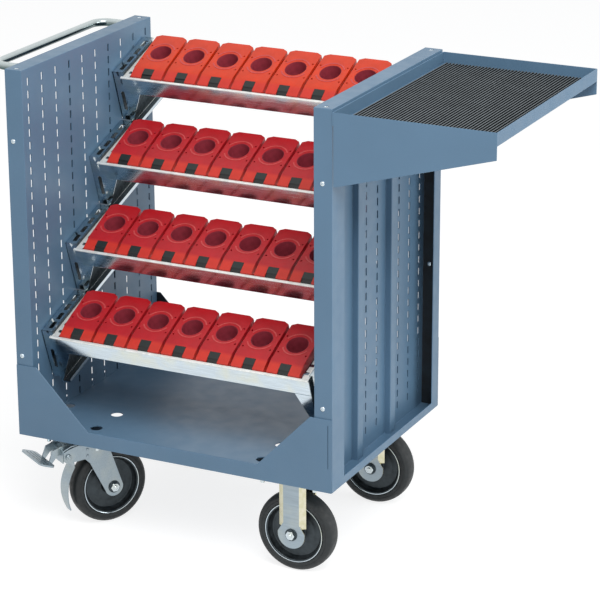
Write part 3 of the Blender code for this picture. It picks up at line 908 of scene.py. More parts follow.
def side_panel(sizes):
    """The left panel: a pan folded outwards round a slotted sheet, with two upright hat channels."""
    y0 = sheet + clearance
    y1 = body_depth - y0
    back = panel_depth - sheet
    shell = boxes([((0, y0, 0), (panel_depth, y1, body_height))])
    cavity = boxes([((sheet, y0 + sheet, sheet), (back, y1 - sheet, body_height - sheet))])
    window = boxes([((-overrun, y0 + panel_return, panel_end_return),
                     (sheet + overrun, y1 - panel_wide_return, body_height - panel_end_return))])
    combine(shell, cavity)
    combine(shell, window)
    rounded(shell, sizes.fold_radius, 3)
    seat_bottom = body_height - seat_depth
    seat_top = body_height + overrun
    for y in (panel_screw_y, body_depth - panel_screw_y):
        seat = turned([(0, seat_bottom), (seat_radius, seat_bottom), (seat_mouth, seat_top), (0, seat_top)],
                      small_sides)
        combine(shell, moved(seat, Matrix.Translation((panel_depth / 2, y, 0))))
    cut(shell, slot_outlines(sizes), back - overrun, panel_depth + overrun, ALONG_X)
    pieces = [shell]
    for y in (stiffener_inset, body_depth - stiffener_inset):
        near = y - stiffener_width / 2
        far = y + stiffener_width / 2
        tip = back - stiffener_depth
        path = [(back, near - stiffener_foot), (back, near), (tip, near), (tip, far), (back, far),
                (back, far + stiffener_foot)]
        outline = folded(path[::-1], stiffener_sheet, stiffener_bend)
        pieces.append(bar([outline], sheet, body_height - stiffener_top_gap, ALONG_Z))
    return joined(pieces)


def gets_painted_shade(face):
    """Whether a face is the inner side of a panel's folded flange or the inside of a hat channel, which get
    painted shade.
    """
    x, y, _ = face.center
    back = panel_depth - sheet
    tip = back - stiffener_depth
    margin = sheet / 2
    for middle in (stiffener_inset, body_depth - stiffener_inset):
        if abs(y - middle) < stiffener_width / 2 - margin and tip + margin < x < back + hair:
            return True
    inner = 2 * sheet + clearance + 0.0004
    front_flange = y < inner and face.normal.y > 0.5
    rear_flange = y > body_depth - inner and face.normal.y < -0.5
    return (front_flange or rear_flange) and x < back


class TOOLCART_OT_side_panels(bpy.types.Operator):
    """Make the two slotted side panels with their upright channels and screws"""
    bl_idname = "toolcart.side_panels"
    bl_label = "Side panels"

    def execute(self, context):
        sizes = context.scene.cart_sizes
        # The insides of the folds and hat channels get the near-black painted shade.
        left = paint_edges(shaded(side_panel(sizes), "paint", "shade"), gets_painted_shade)
        right = twin(left)
        settle(left, "slotted_panel_left", "cart", CART, ["side_panel_left"])
        settle(right, "slotted_panel_right", "cart", CART @ HALF_TURN, ["side_panel_right"])
        screw = shaded(dome_screw(sizes.screw_head), "zinc")
        face = sheet + clearance
        places = []
        for x in panel_screw_places_x:
            for z in panel_screw_places_z:
                places.append(((0, -1, 0), (x, face, z)))
                places.append(((0, 1, 0), (x, body_depth - face, z)))
        for x in (body_width - flange_screw_inset, flange_screw_inset):
            places.append(((0, -1, 0), (x, body_depth - face - sheet, flange_screw_z)))
        for number, (direction, place) in enumerate(places):
            settle(twin(screw), f"panel_screw_{number + 1}", "cart", CART @ face_towards(direction, place))
        flat = shaded(dome_screw(sizes.screw_head, flat_head_share), "zinc")
        head_bottom = body_height - sizes.screw_head * flat_head_share - hair
        for side, x in (("left", panel_depth / 2), ("right", body_width - panel_depth / 2)):
            for end, y in (("front", panel_screw_y), ("rear", body_depth - panel_screw_y)):
                place = Matrix.Translation((x, y, head_bottom))
                settle(twin(flat), f"top_screw_{side}_{end}", "cart", CART @ place)
        drop(screw, flat)
        return {"FINISHED"}


def base_pan(sizes):
    """The base: one folded sheet with access holes over the caster bolts."""
    y0 = sheet + clearance
    y1 = body_depth - y0
    path = [(y1 - caster_flange, 0), (y1, 0), (y1, base_height), (y0, base_height), (y0, 0),
            (y0 + caster_flange, 0)]
    x0 = panel_depth + clearance
    pan = bar([folded(path, sheet, small_bend)], x0, body_width - x0, ALONG_X)
    holes = [ring((x + bolt_x, y + bolt_y), sizes.access_hole / 2, 32)
             for x, y in caster_places.values() for bolt_x, bolt_y in bolt_places()]
    return cut(pan, holes, base_height - sheet - overrun, base_height + overrun, ALONG_Z)


def base_plate():
    """The plate across the base, set back a little between its joggles, with a gusset up each panel."""
    left = [(gusset_reach, base_height), (gusset_top, gusset_height), (gusset_edge, gusset_height),
            (gusset_edge, 0)]
    plate = bar([left + mirror_x(left)], -overrun, 2 * sheet, ALONG_Y)
    joggle = [(-overrun, 0), (joggle_start, 0), (joggle_end, joggle_step)]
    front = joggle + mirror_x(joggle)
    back = [(x, y + thin_sheet) for x, y in reversed(front)]
    combine(plate, bar([front + back], -overrun, gusset_height + overrun, ALONG_Z), "INTERSECT")
    slit_x = body_width - slit_inset
    slit = boxes([((slit_x, -overrun, slit_bottom), (slit_x + slit_width, sheet, slit_top))])
    combine(plate, slit)
    return rounded(plate, 0.0004, 1)


def gusset_gets_painted_shade(face):
    """Whether a face is the inner side of a gusset, above the base, which gets painted shade."""
    return face.normal.y > 0.5 and face.center.z > base_height


def caster_bolt():
    """A caster bolt with its nut and washer, along +Z from the base's flange."""
    nut = hexagon_nut(bolt_head, 0.0065, bolt_diameter)
    stem = round_pin(bolt_diameter / 2, -bolt_stem, 0.001, 0.0006, 2, 16)
    washer = flat_washer(0.0042, washer_radius, 0, washer_thickness, small_sides)
    return joined([nut, stem, washer])


class TOOLCART_OT_base(bpy.types.Operator):
    """Make the base pan, its front and rear plates and the caster bolts under it"""
    bl_idname = "toolcart.base"
    bl_label = "Base"

    def execute(self, context):
        pan = shaded(base_pan(context.scene.cart_sizes), "paint")
        settle(pan, "folded_base_pan", "cart", CART, ["base_floor"])
        front = shaded(base_plate(), "paint", "shade")
        # The rear plate's inner gusset faces get the near-black painted shade.
        rear = paint_edges(working(front.data.copy()), gusset_gets_painted_shade)
        settle(front, "gusset_plate_front", "cart", CART, ["base_front_plate"])
        settle(rear, "gusset_plate_rear", "cart", CART @ HALF_TURN, ["base_rear_plate"])
        bolt = shaded(caster_bolt(), "zinc")
        for name, (x, y) in caster_places.items():
            for number, (bolt_x, bolt_y) in enumerate(bolt_places(), 1):
                place = Matrix.Translation((x + bolt_x, y + bolt_y, sheet))
                settle(twin(bolt), f"caster_bolt_{name}_{number}", "cart", CART @ place)
        drop(bolt)
        return {"FINISHED"}


def push_handle(sizes):
    """A bent tube whose two ends stand on the left panel's top flange."""
    near = (body_depth - handle_span) / 2
    far = (body_depth + handle_span) / 2
    bend = sizes.handle_bend
    quarter = math.pi / 2
    radius = sizes.handle_diameter / 2
    points = [(-clearance, near), (-handle_straight, near)]
    points += arc((bend - handle_reach, near + bend), bend, -quarter, -2 * quarter, 16)
    points += [(-handle_reach, near + handle_span * share) for share in (0.2, 0.5, 0.8)]
    points += arc((bend - handle_reach, far - bend), bend, 2 * quarter, quarter, 16)
    points += [(-handle_straight, far), (-clearance, far)]
    return tube([(x, y, body_height - radius) for x, y in points], radius, 7)


class TOOLCART_OT_push_handle(bpy.types.Operator):
    """Make the chromed push handle on the left panel"""
    bl_idname = "toolcart.push_handle"
    bl_label = "Push handle"

    def execute(self, context):
        handle = shaded(push_handle(context.scene.cart_sizes), "chrome")
        settle(handle, "bent_push_handle", "cart", CART, ["push_handle"])
        return {"FINISHED"}


def side_tray():
    """The tray's pan with a tapered bracket plate along its front and its back edge."""
    top = body_height - tray_drop
    bottom = top - tray_depth
    x0 = body_width + clearance
    x1 = body_width + tray_reach
    pan = boxes([((x0, tray_pan_inset, bottom), (x1, body_depth - tray_pan_inset, top))])
    hollow = boxes([((x0 + sheet, sheet, bottom + sheet), (x1 - sheet, body_depth - sheet, top + overrun))])
    combine(pan, hollow)
    rounded(pan, small_bend, 2)
    near = x0 + tray_plate_gap
    far = x1 - tray_plate_inset
    plate_top = top - tray_plate_drop
    outline = [(near, plate_top), (near, top - bracket_inner_height),
               (x0 + bracket_foot, top - bracket_inner_height), (far, top - bracket_outer_height),
               (far, plate_top)]
    pieces = [pan]
    for y in (0, body_depth - thin_sheet):
        pieces.append(rounded(bar([outline], y, y + thin_sheet, ALONG_Y), 0.0005, 2))
    return joined(pieces)


def ribbed_mat(sizes):
    """The rubber mat: ribs with narrow crests over wide valleys, from front to back."""
    x0 = body_width + clearance + sheet + mat_side_gap
    x1 = body_width + tray_reach - sheet - clearance
    valley = mat_bottom + mat_base
    count = round((x1 - x0) / sizes.rib_pitch)
    step = (x1 - x0) / count
    half_crest = sizes.rib_crest / 2
    half_foot = half_crest + rib_flank
    outline = [(x1, mat_bottom), (x0, mat_bottom)]
    for i in range(count):
        middle = x0 + (i + 0.5) * step
        outline += [(middle - half_foot, valley), (middle - half_crest, mat_top),
                    (middle + half_crest, mat_top), (middle + half_foot, valley)]
    outline[2] = (x0, valley)
    outline.append((x1, valley))
    return bar([outline], sheet + clearance, body_depth - sheet - clearance, ALONG_Y)


class TOOLCART_OT_side_tray(bpy.types.Operator):
    """Make the side tray and its ribbed mat"""
    bl_idname = "toolcart.side_tray"
    bl_label = "Side tray"

    def execute(self, context):
        tray = shaded(side_tray(), "paint")
        settle(tray, "folded_side_tray", "cart", CART, ["tray_pan"])
        mat = shaded(ribbed_mat(context.scene.cart_sizes), "mat")
        settle(mat, "ribbed_tray_mat", "cart", CART, ["tray_mat"])
        return {"FINISHED"}


# Racks

def rack_rails(sizes):
    """The front rail with its hem, the front ledge and the rear rail, in the rack's own axes."""
    seat = insert_bottom - clearance
    rail = folded([(-sheet, rail_top), (-sheet, rail_bottom - sheet), (rail_foot, rail_bottom - sheet)],
                  sheet, small_bend)
    hem = rounded_box((0.0002 - sizes.hem / 2, rail_top + 0.0003), sizes.hem, sizes.hem * 0.5,
                      sizes.hem * 0.15, 3)
    ledge = [(-sheet / 2, seat), (-sheet / 2, seat - sheet), (rail_foot, seat - sheet), (rail_foot, seat)]
    rear = folded([(rack_length, rail_bottom), (rack_length, seat), (rack_length - rear_ledge, seat)],
                  sheet, small_bend)
    return [bar([outline], rack_x0 + inset, rack_x1 - inset, ALONG_X)
            for outline, inset in ((rail, rail_inset), (hem, 0), (ledge, sheet), (rear, sheet / 2))]


def rack_end(side):
    """A side channel with its ear, and the slotted wall bracket that it hangs on.

    The outlines are those of the left end, and side turns them into the end that is made.
    """
    x0 = rack_x0
    wall_x = panel_depth + clearance
    channel = folded([(x0 + channel_top, rail_top), (x0, rail_top), (x0, side_bottom),
                      (x0 + channel_foot, side_bottom), (x0 + channel_foot, side_bottom + channel_lip)],
                     sheet, small_bend)
    web = bar([side(channel)], 0, rack_length, ALONG_Y)
    notches = [side(rounded_box((x0 + 0.0125, 0.018 + 0.024 * i), 0.009, 0.008, 0.001, 2)) for i in range(5)]
    cut(web, notches, rail_top - overrun, rail_top + overrun, ALONG_Z)
    ear = [(x0, ear_top), (x0, side_bottom), (x0 + sheet, side_bottom),
           (x0 + ear_reach, rail_bottom - sheet), (x0 + ear_reach, ear_top)]
    angle = folded([(x0 + 0.001, 0), (wall_x, 0), (wall_x, -bracket_height)], sheet, 0.0012)
    bracket = bar([side(angle)], bracket_start, bracket_end, ALONG_Y)
    windows = [side(rounded_box((wall_x + 0.0165, 0.026 + 0.030 * i), 0.0085, 0.021, 0.0016, 2))
               for i in range(4)]
    cut(bracket, windows, -2 * overrun, overrun, ALONG_Z)
    neck = [(x0, 0), (x0, ear_top), (x0 + sheet, ear_top), (x0 + sheet, 0)]
    lug = [(wall_x, -0.001), (wall_x, -bracket_height), (x0 + 0.001, -bracket_height), (x0 + 0.001, -0.001)]
    lug_middle = ((wall_x + x0) / 2 + 0.002, -bracket_height * 0.6)
    lug_slot = rounded_box(lug_middle, 0.008, 0.044, 0.0035, 4)
    return [web, bar([side(ear)], 4 * hair - sheet, 0, ALONG_Y), bracket,
            bar([side(neck)], bracket_start, rack_length, ALONG_Y),
            bar([side(lug), side(lug_slot)], bracket_start, bracket_start + sheet, ALONG_Y)]


def support_frame(sizes):
    """A rack frame in the rack's own axes: rails, side channels and the wall brackets they hang on."""
    return joined(rack_rails(sizes) + rack_end(list) + rack_end(mirror_x))


def gets_painted_highlight(face):
    """Whether a face lies on a rack's hem or on the narrow rims at the inserts' sides, which get the painted
    highlight.
    """
    x, along, up = face.center
    across = min(x, body_width - x) - rack_x0
    on_channel = 5 * hair < across < channel_top + 0.001 and abs(up - rail_top) < 5 * hair
    on_hem = along < -sheet - hair and up > rail_top - 0.003
    return (on_channel and face.normal.z > 0.5) or on_hem


def bracket_gets_painted_shade(face):
    """Whether a face that looks to the tray lies in the dark hollow under a rack's wall bracket, which gets
    painted shade.
    """
    x, along, up = face.center
    across = min(x, body_width - x) - rack_x0
    near_wall = across < sheet + 2 * hair and up < -sheet and along > bracket_start + sheet + 5 * hair
    return near_wall and face.normal.x > 0.3


def insert_top(v):
    """The height of an insert's top at a distance up the rack: a steep lead-in, then a gentle slope."""
    if v < insert_lead_end:
        share = (v - insert_front) / (insert_lead_end - insert_front)
        return insert_nose + share * (insert_lead_top - insert_nose)
    return insert_lead_top + (v - insert_lead_end) * math.tan(insert_slope)


def above_insert(drop):
    """A cutter that leaves what lies below an insert's top, lowered by a drop."""
    high = insert_back_top + overrun
    outline = [(insert_front, insert_nose - drop), (insert_lead_end, insert_lead_top - drop),
               (insert_back, insert_back_top - drop), (insert_back, high), (-overrun, high),
               (-overrun, insert_nose - drop)]
    return bar([outline], -insert_pitch, insert_pitch, ALONG_X)


def on_slope():
    """The frame that lies on an insert's top with its origin on the bore's axis."""
    place = Matrix.Translation((0, insert_bore_y, insert_top(insert_bore_y)))
    return place @ Matrix.Rotation(insert_slope, 4, "X")


def tool_insert(sizes):
    """An insert in the rack's own axes: a block with a sloped top and chamfered corners at its back."""
    half = (insert_pitch - insert_gap) / 2
    corner = insert_bore_y + math.sqrt(insert_back_radius ** 2 - half ** 2)
    straight = insert_back_radius * insert_straight_share
    back = insert_bore_y + math.sqrt(insert_back_radius ** 2 - straight ** 2)
    outline = [(-half, insert_front), (half, insert_front), (half, corner), (straight, back),
               (-straight, back), (-half, corner)]
    block = bar([outline], insert_bottom, insert_back_top, ALONG_Z)
    combine(block, above_insert(0))
    rounded(block, sizes.insert_edge, 2)
    half_notch = sizes.clip_width / 2
    notch = boxes([((-half_notch, -overrun, notch_floor), (half_notch, notch_back, insert_back_top))])
    combine(block, notch)
    holes = [ring((side * pin_hole_x, along), sizes.pin_hole / 2, 12)
             for side in (-1, 1) for along in pin_hole_places]
    combine(block, moved(bar(holes, -pin_hole_depth, overrun, ALONG_Z), on_slope()))
    radius = sizes.insert_bore / 2
    low = insert_bottom - overrun
    high = insert_back_top + overrun
    bore = turned([(0, low), (radius, low), (radius, high), (0, high)], 48)
    return combine(block, moved(bore, Matrix.Translation((0, insert_bore_y, 0))))


def ring_ribs(sizes):
    """Two moulded ribs round the bore, one towards the front and one towards the back."""
    outer = sizes.insert_ring / 2
    ribs = []
    for middle in (math.pi / 2, -math.pi / 2):
        start = middle - rib_half_angle
        end = middle + rib_half_angle
        outline = arc((0, 0), outer, start, end, 24) + arc((0, 0), outer - rib_width, end, start, 24)
        ribs.append(rounded(bar([outline], -rib_sink, rib_rise, ALONG_Z), 0.0004, 2))
    return moved(joined(ribs), on_slope())


def bore_tube(sizes):
    """The tube under an insert, with a slightly conical wall. Its mouth follows the insert's top."""
    mouth = sizes.insert_bore / 2 - clearance
    bottom = insert_bottom - tube_drop
    shoulder = insert_bottom + tube_shoulder
    profile = [(mouth - tube_cone, bottom), (tube_outer, bottom), (tube_outer, shoulder),
               (mouth + tube_wall, shoulder), (mouth + tube_wall, insert_back_top), (mouth, insert_back_top)]
    tube_shape = moved(turned(profile, 48), Matrix.Translation((0, insert_bore_y, 0)))
    return combine(tube_shape, above_insert(0.0006))


def snap_clip(sizes):
    """The black clip in an insert's notch: a tongue along the lead-in that steps down at its front."""
    half = sizes.clip_width / 2 - clearance
    floor = notch_floor + clearance
    back = notch_back - clearance
    step = 0.0075
    rise = 0.0004
    outline = [(insert_front, floor), (back, floor), (back, insert_top(back) + rise),
               (step, insert_top(step) + rise), (step - 0.0008, insert_top(step) - 0.0022),
               (insert_front, floor + 0.0016)]
    return rounded(bar([outline], -half, half, ALONG_X), 0.0004, 2)


class TOOLCART_OT_racks(bpy.types.Operator):
    """Make the four tilted rack frames"""
    bl_idname = "toolcart.racks"
    bl_label = "Rack frames"

    def execute(self, context):
        shape = shaded(support_frame(context.scene.rack_sizes), "zinc", "dark", "painted_highlight")
        # Faces under the wall brackets get the dark grey as painted shade.
        paint_edges(shape, bracket_gets_painted_shade)
        # The hems and the channels' top rims get the near-white painted highlight.
        paint_edges(shape, gets_painted_highlight, 2)
        for row in range(rack_count):
            settle(twin(shape), f"rack_frame_{row + 1}", "cart", rack_place(row),
                   [f"support_frame_{row + 1}"])
        drop(shape)
        return {"FINISHED"}


def rack_place(row, x=0.0):
    edge = Vector((x, rack_first_y + row * rack_pitch_y, rack_first_z + row * rack_pitch_z))
    return CART @ Matrix.Translation(edge) @ Matrix.Rotation(rack_tilt, 4, "X")


class TOOLCART_OT_inserts(bpy.types.Operator):
    """Make the 28 tool inserts with their bores and black clips"""
    bl_idname = "toolcart.inserts"
    bl_label = "Tool inserts"

    def execute(self, context):
        sizes = context.scene.rack_sizes
        blocks = {"red": shaded(tool_insert(sizes), "red")}
        blocks["orange"] = working(blocks["red"].data.copy())
        blocks["orange"].data.materials[0] = finishes()["orange"]
        moulded = {"tube": shaded(bore_tube(sizes), "bore"), "ribs": shaded(ring_ribs(sizes), "rib")}
        clip = shaded(snap_clip(sizes), "clip")
        for row in range(rack_count):
            colour = "orange" if row == rack_count - 1 else "red"
            for column in range(insert_count):
                x = body_width / 2 + (column - (insert_count - 1) / 2) * insert_pitch
                place = rack_place(row, x)
                number = f"{row + 1}_{column + 1}"
                settle(twin(blocks[colour]), f"insert_block_{number}", "cart", place,
                       [f"tool_insert_{number}"])
                for part, shape in moulded.items():
                    settle(twin(shape), f"insert_{part}_{number}", "cart", place)
                settle(twin(clip), f"insert_clip_{number}", "cart", place)
        drop(*blocks.values(), *moulded.values(), clip)
        return {"FINISHED"}


# Casters

def both_sides(side, crown=()):
    """The closed profile of a wheel from that of its upper side, mirrored for its lower side."""
    return side + list(crown) + [(radius, -height) for radius, height in reversed(side)]


def wheel_centre(sizes):
    """The wheel's pressed centre: a hub, a dished web and a rolled lip, turned round the axle."""
    rim = sizes.rim_diameter / 2
    half = sizes.tyre_width / 2
    hub = fork_gap / 2 - clearance
    core = sizes.hub_diameter / 2
    web = 0.006
    side = [(axle_hole + hair, hub), (core * 0.8, hub), (core, hub - 0.004), (core + 0.003, 0.010),
            (rim * 0.62, web), (rim - 0.010, web), (rim - 0.006, 0.013), (rim - 0.0045, half - 0.001),
            (rim, half - 0.0006)]
    return turned(round_profile(both_sides(side), 0.0015), sizes.wheel_sides, ALONG_Y)


def rim_beads(sizes):
    """The bright rolled edges of the wheel's centre, one on each side."""
    bead = 0.0010
    radius = sizes.rim_diameter / 2 - 0.0012
    side = sizes.tyre_width / 2 - bead
    beads = []
    for height in (-side, side):
        beads.append(turned(ring((radius, height), bead, 8), sizes.wheel_sides, ALONG_Y))
    return joined(beads)


def tyre(sizes):
    """A solid tyre with a crowned tread, round shoulders and a moulded line on its side."""
    half = sizes.tyre_width / 2
    inner = sizes.rim_diameter / 2 + clearance
    crown = 0.006
    side = [(inner, half - 0.0012), (inner + 0.004, half), (inner + 0.0065, half),
            (inner + 0.0072, half - 0.0008), (inner + 0.0079, half), (wheel_radius - 0.007, half - 0.0006),
            (wheel_radius - 0.0015, half - 0.006)]
    profile = both_sides(side, ((wheel_radius, crown), (wheel_radius, -crown)))
    return turned(round_profile(profile, 0.003), sizes.wheel_sides, ALONG_Y)


def wheel_axle():
    """The axle bolt with its hexagon head, washers and nut outside the fork's legs."""
    reach = fork_outer + clearance
    tip = reach + 0.004
    pieces = [round_pin(axle_radius, -tip, tip, 0.0004, 1, small_sides, ALONG_Y)]
    for side in (1, -1):
        nut = hexagon_nut(0.0165, 0.0052, 0.009)
        washer = flat_washer(0.005, axle_washer, -2 * hair, washer_thickness, 32)
        head = joined([moved(nut, Matrix.Translation((0, 0, washer_thickness))), washer])
        pieces.append(moved(head, face_towards((0, side, 0), (0, side * reach, 0))))
    return joined(pieces)


def plate_with_bolts():
    """The caster's top plate with its four bolt heads below it."""
    outline = rounded_box((0, 0), plate_length, plate_width, 0.012, 5)
    pieces = [rounded(bar([outline], plate_bottom, -clearance, ALONG_Z), 0.0006, 2)]
    for x, y in bolt_places():
        head = hexagon_nut(bolt_head, 0.0055, bolt_diameter)
        pieces.append(moved(head, face_towards((0, 0, -1), (x, y, plate_bottom))))
    return pieces


def fixed_fork():
    """The plate and two pressed legs of a caster that doesn't swivel."""
    pieces = plate_with_bolts()
    half = 0.0285
    web = 0.0165
    edge = 0.0225
    cheek_z = wheel_z + 0.004
    shoulder_z = wheel_z + 0.022
    for side in (1, -1):
        path = [(-half, edge), (-web, fork_outer), (web, fork_outer), (half, edge)]
        section = folded(path[::-1], fork_sheet, 0.0016)
        leg = bar([section], wheel_z + 0.014, plate_bottom + 0.001, ALONG_Z)
        foot = arc((0, wheel_z), half, math.pi, 2 * math.pi, 24)
        foot += [(half, cheek_z), (web + 0.001, shoulder_z), (-web - 0.001, shoulder_z), (-half, cheek_z)]
        hole = ring((0, wheel_z), axle_hole, small_sides)
        end = rounded(bar([foot, hole], fork_outer - fork_sheet, fork_outer, ALONG_Y), 0.0011, 3)
        cheek = joined([leg, end])
        if side < 0:
            cheek = moved(cheek, Matrix.Rotation(math.pi, 4, "Z"))
        pieces.append(cheek)
    return joined(pieces)


def swivel_plate():
    """The plate of a swivel caster with its ball race."""
    inner = 0.010
    race = [(inner, race_bottom), (0.030, race_bottom), (0.0355, race_bottom + 0.002), (0.0355, -0.0065),
            (0.037, -0.0055), (0.037, plate_bottom + 0.001), (inner, plate_bottom + 0.001)]
    return joined(plate_with_bolts() + [turned(round_profile(race, 0.0012), 64)])


def wheel_guard():
    """The guard blade before a swivel wheel, on a strap that ends in the fork's tongue."""
    centre = (swivel_trail, wheel_z)
    top = math.radians(146)
    bottom = math.radians(206)
    strap_top = crown_top - 0.0144
    blade = arc(centre, guard_radius, top, bottom, 20)
    blade += arc(centre, guard_radius - guard_sheet, bottom, top, 20)
    blade += [(guard_sheet - 0.0325, strap_top), (-0.0325, strap_top)]
    guard = bar([blade], -guard_half_width, guard_half_width, ALONG_Y)
    for vertex in guard.data.vertices:
        if vertex.co.z > strap_top - 0.001:
            vertex.co.y *= 0.6
        else:
            angle = math.atan2(vertex.co.z - wheel_z, vertex.co.x - swivel_trail) % (2 * math.pi)
            share = max(0.0, (math.degrees(angle) - 170) / 36)
            vertex.co.y *= 1 - 0.55 * share ** 2
    return rounded(guard, 0.0006, 1)


def swivel_fork():
    """The turning fork: its crown, raked legs with a cross bar, the pedal's tongue and a guard on it."""
    crown = [(0, crown_bottom), (0.038, crown_bottom), (0.040, crown_top - 0.001), (0.039, crown_top),
             (0, crown_top)]
    pieces = [turned(crown, 64)]
    bar_front = -0.058
    foot = arc((swivel_trail, wheel_z), 0.020, math.radians(195), math.radians(362), 18)
    outline = foot + [(0.0365, crown_bottom + 0.001), (-0.030, crown_bottom + 0.001),
                      (bar_front + 0.010, -0.021), (bar_front, -0.026), (bar_front, -0.044),
                      (bar_front + 0.008, -0.050), (-0.012, -0.048), (-0.002, -0.058)]
    hole = ring((swivel_trail, wheel_z), axle_hole, small_sides)
    inner = fork_gap / 2
    for low, high in ((inner, fork_outer), (-fork_outer, -inner)):
        pieces.append(rounded(bar([outline, hole], low, high, ALONG_Y), 0.0009, 2))
    cross_front = bar_front + 5 * hair
    cross_top = crown_bottom + 5 * hair
    cross = folded([(cross_front, -0.048), (cross_front, -0.024), (-0.040, cross_top), (-0.026, cross_top)],
                   fork_sheet * 0.8, 0.003)
    pieces.append(bar([cross], -inner - 0.001, inner + 0.001, ALONG_Y))
    pieces.append(wheel_guard())
    tongue = boxes([((-0.050, -tongue_half_width, crown_top - 0.016),
                     (-0.028, tongue_half_width, crown_top - clearance))])
    pieces.append(rounded(tongue, 0.0015, 2))
    rivet_profile = round_profile([(0, 0), (0.0032, 0), (0.0026, 0.0014), (0, 0.0018)], 0.0006, 2)
    for z in (-0.028, -0.042):
        for side in (1, -1):
            place = face_towards((0, side, 0), (-0.006, side * fork_outer, z))
            pieces.append(moved(turned(rivet_profile, 16), place))
    screw = hexagon_nut(0.011, 0.004, 0.006)
    pieces.append(moved(screw, face_towards((0, -1, 0), (bar_front + 0.010, -fork_outer, -0.036))))
    return joined(pieces)


def pedal_tread(root, reach):
    """The pedal's tilted tread with three pressed ribs across it."""
    outline = rounded_box(((-reach - root) / 2, 0), reach - root, 2 * tread_half_width, 0.010, 5)
    treads = [rounded(bar([outline], 0.003 - tread_drop, 0.007 - tread_drop, ALONG_Z), 0.0008, 2)]
    for x in (0.009 - reach, 0.017 - reach, 0.025 - reach):
        rib = rounded_box((x, 0), 0.0024, 2 * tread_half_width - 0.020, 0.0011, 2)
        treads.append(rounded(bar([rib], 0.0068 - tread_drop, 0.0078 - tread_drop, ALONG_Z), 0.0004, 1))
    hinge = Matrix.Translation((-root, 0, 0.005 - tread_drop))
    return moved(joined(treads), hinge @ Matrix.Rotation(tread_tilt, 4, "Y") @ hinge.inverted())


def brake_pedal():
    """The brake pedal, drawn round its pin at the front of the fork."""
    reach = pedal_reach + pedal_pivot.x
    root = reach - tread_length
    arm = arc((0, 0), 0.007, -math.pi / 2, math.pi / 2, 8)
    arm += [(-0.016, 0.0068), (-0.034, 0.001), (-root, 0.006 - tread_drop),
            (-root - 0.010, 0.0075 - tread_drop), (-root - 0.010, 0.004 - tread_drop),
            (-root + 0.004, -0.002 - tread_drop), (-0.024, -0.012)]
    inner = tongue_half_width + clearance
    outer = inner + fork_sheet
    pieces = []
    for low, high in ((inner, outer), (-outer, -inner)):
        pieces.append(rounded(bar([arm], low, high, ALONG_Y), 0.0007, 2))
    pieces.append(pedal_tread(root, reach))
    pin_end = 0.0185
    pieces.append(round_pin(0.003, -pin_end, pin_end, 0.0005, 1, 16, ALONG_Y))
    return joined(pieces)


def on_washer(face):
    """Whether a face belongs to the washer under the axle's nut."""
    x, y, z = face.center
    return abs(y) < fork_outer + clearance + washer_thickness + hair and math.hypot(x, z) > 0.0085


def on_leg_edge(face):
    """Whether a face lies on the folded edges of a fixed fork's legs."""
    return abs(face.normal.x) > 0.35 and face.center.z < plate_bottom - 0.001


def body_of(node):
    return frame["nodes"][node]["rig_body"]


class TOOLCART_OT_wheels(bpy.types.Operator):
    """Make the wheels with their centres, tyres and axle bolts"""
    bl_idname = "toolcart.wheels"
    bl_label = "Wheels"

    def execute(self, context):
        sizes = context.scene.caster_sizes
        kit = {
            "rim": shaded(wheel_centre(sizes), "rim"),
            "tyre": shaded(tyre(sizes), "tyre"),
            "axle": paint_edges(shaded(wheel_axle(), "zinc", "dark"), on_washer),
        }
        beads = shaded(rim_beads(sizes), "zinc")
        for name in caster_places:
            place = wheel_place(name)
            for part, shape in kit.items():
                node = f"{part}_{name}"
                settle_turned(shape, f"wheel_{node}", body_of(node), place, [node])
            settle_turned(beads, f"wheel_beads_{name}", body_of(f"rim_{name}"), place)
        drop(*kit.values(), beads)
        return {"FINISHED"}


def caster_place(name):
    x, y = caster_places[name]
    place = CART @ Matrix.Translation((x, y, 0))
    return place @ Matrix.Rotation(swivel_yaw, 4, "Z") if name.startswith("left") else place


def wheel_place(name):
    trail = swivel_trail if name.startswith("left") else 0.0
    return caster_place(name) @ Matrix.Translation((trail, 0, wheel_z))


class TOOLCART_OT_forks(bpy.types.Operator):
    """Make the fixed forks, the swivel forks with their plates, and the brake pedals"""
    bl_idname = "toolcart.forks"
    bl_label = "Caster forks and pedals"

    def execute(self, context):
        fixed = paint_edges(shaded(fixed_fork(), "caster_zinc", "yellow"), on_leg_edge)
        plate = shaded(swivel_plate(), "caster_zinc")
        fork = shaded(swivel_fork(), "caster_zinc")
        pedal = shaded(brake_pedal(), "caster_zinc")
        for end in ("front", "rear"):
            node = f"fixed_fork_right_{end}"
            settle(twin(fixed), f"pressed_{node}", "cart", caster_place(f"right_{end}"), [node])
            place = caster_place(f"left_{end}")
            node = f"swivel_plate_left_{end}"
            plate_place = CART @ Matrix.Translation((*caster_places[f"left_{end}"], 0))
            settle(twin(plate), f"race_{node}", "cart", plate_place, [node])
            node = f"swivel_fork_left_{end}"
            settle_turned(fork, f"pressed_{node}", body_of(node), place, [node])
            node = f"brake_pedal_left_{end}"
            pivot = place @ Matrix.Translation(pedal_pivot)
            settle_turned(pedal, f"pressed_{node}", body_of(node), pivot, [node])
        drop(fixed, plate, fork, pedal)
        return {"FINISHED"}


# Studio

def seen_directly(tree):
    """A factor of 1 for rays from the camera and from gloss or glass, which see the white studio."""
    path = add_node(tree, "ShaderNodeLightPath")
    total = path.outputs["Is Camera Ray"]
    for name in ("Is Glossy Ray", "Is Transmission Ray"):
        total = add_node(tree, "ShaderNodeMath", {"operation": "ADD", "use_clamp": True, 0: total,
                                                  1: path.outputs[name]}).outputs[0]
    return total


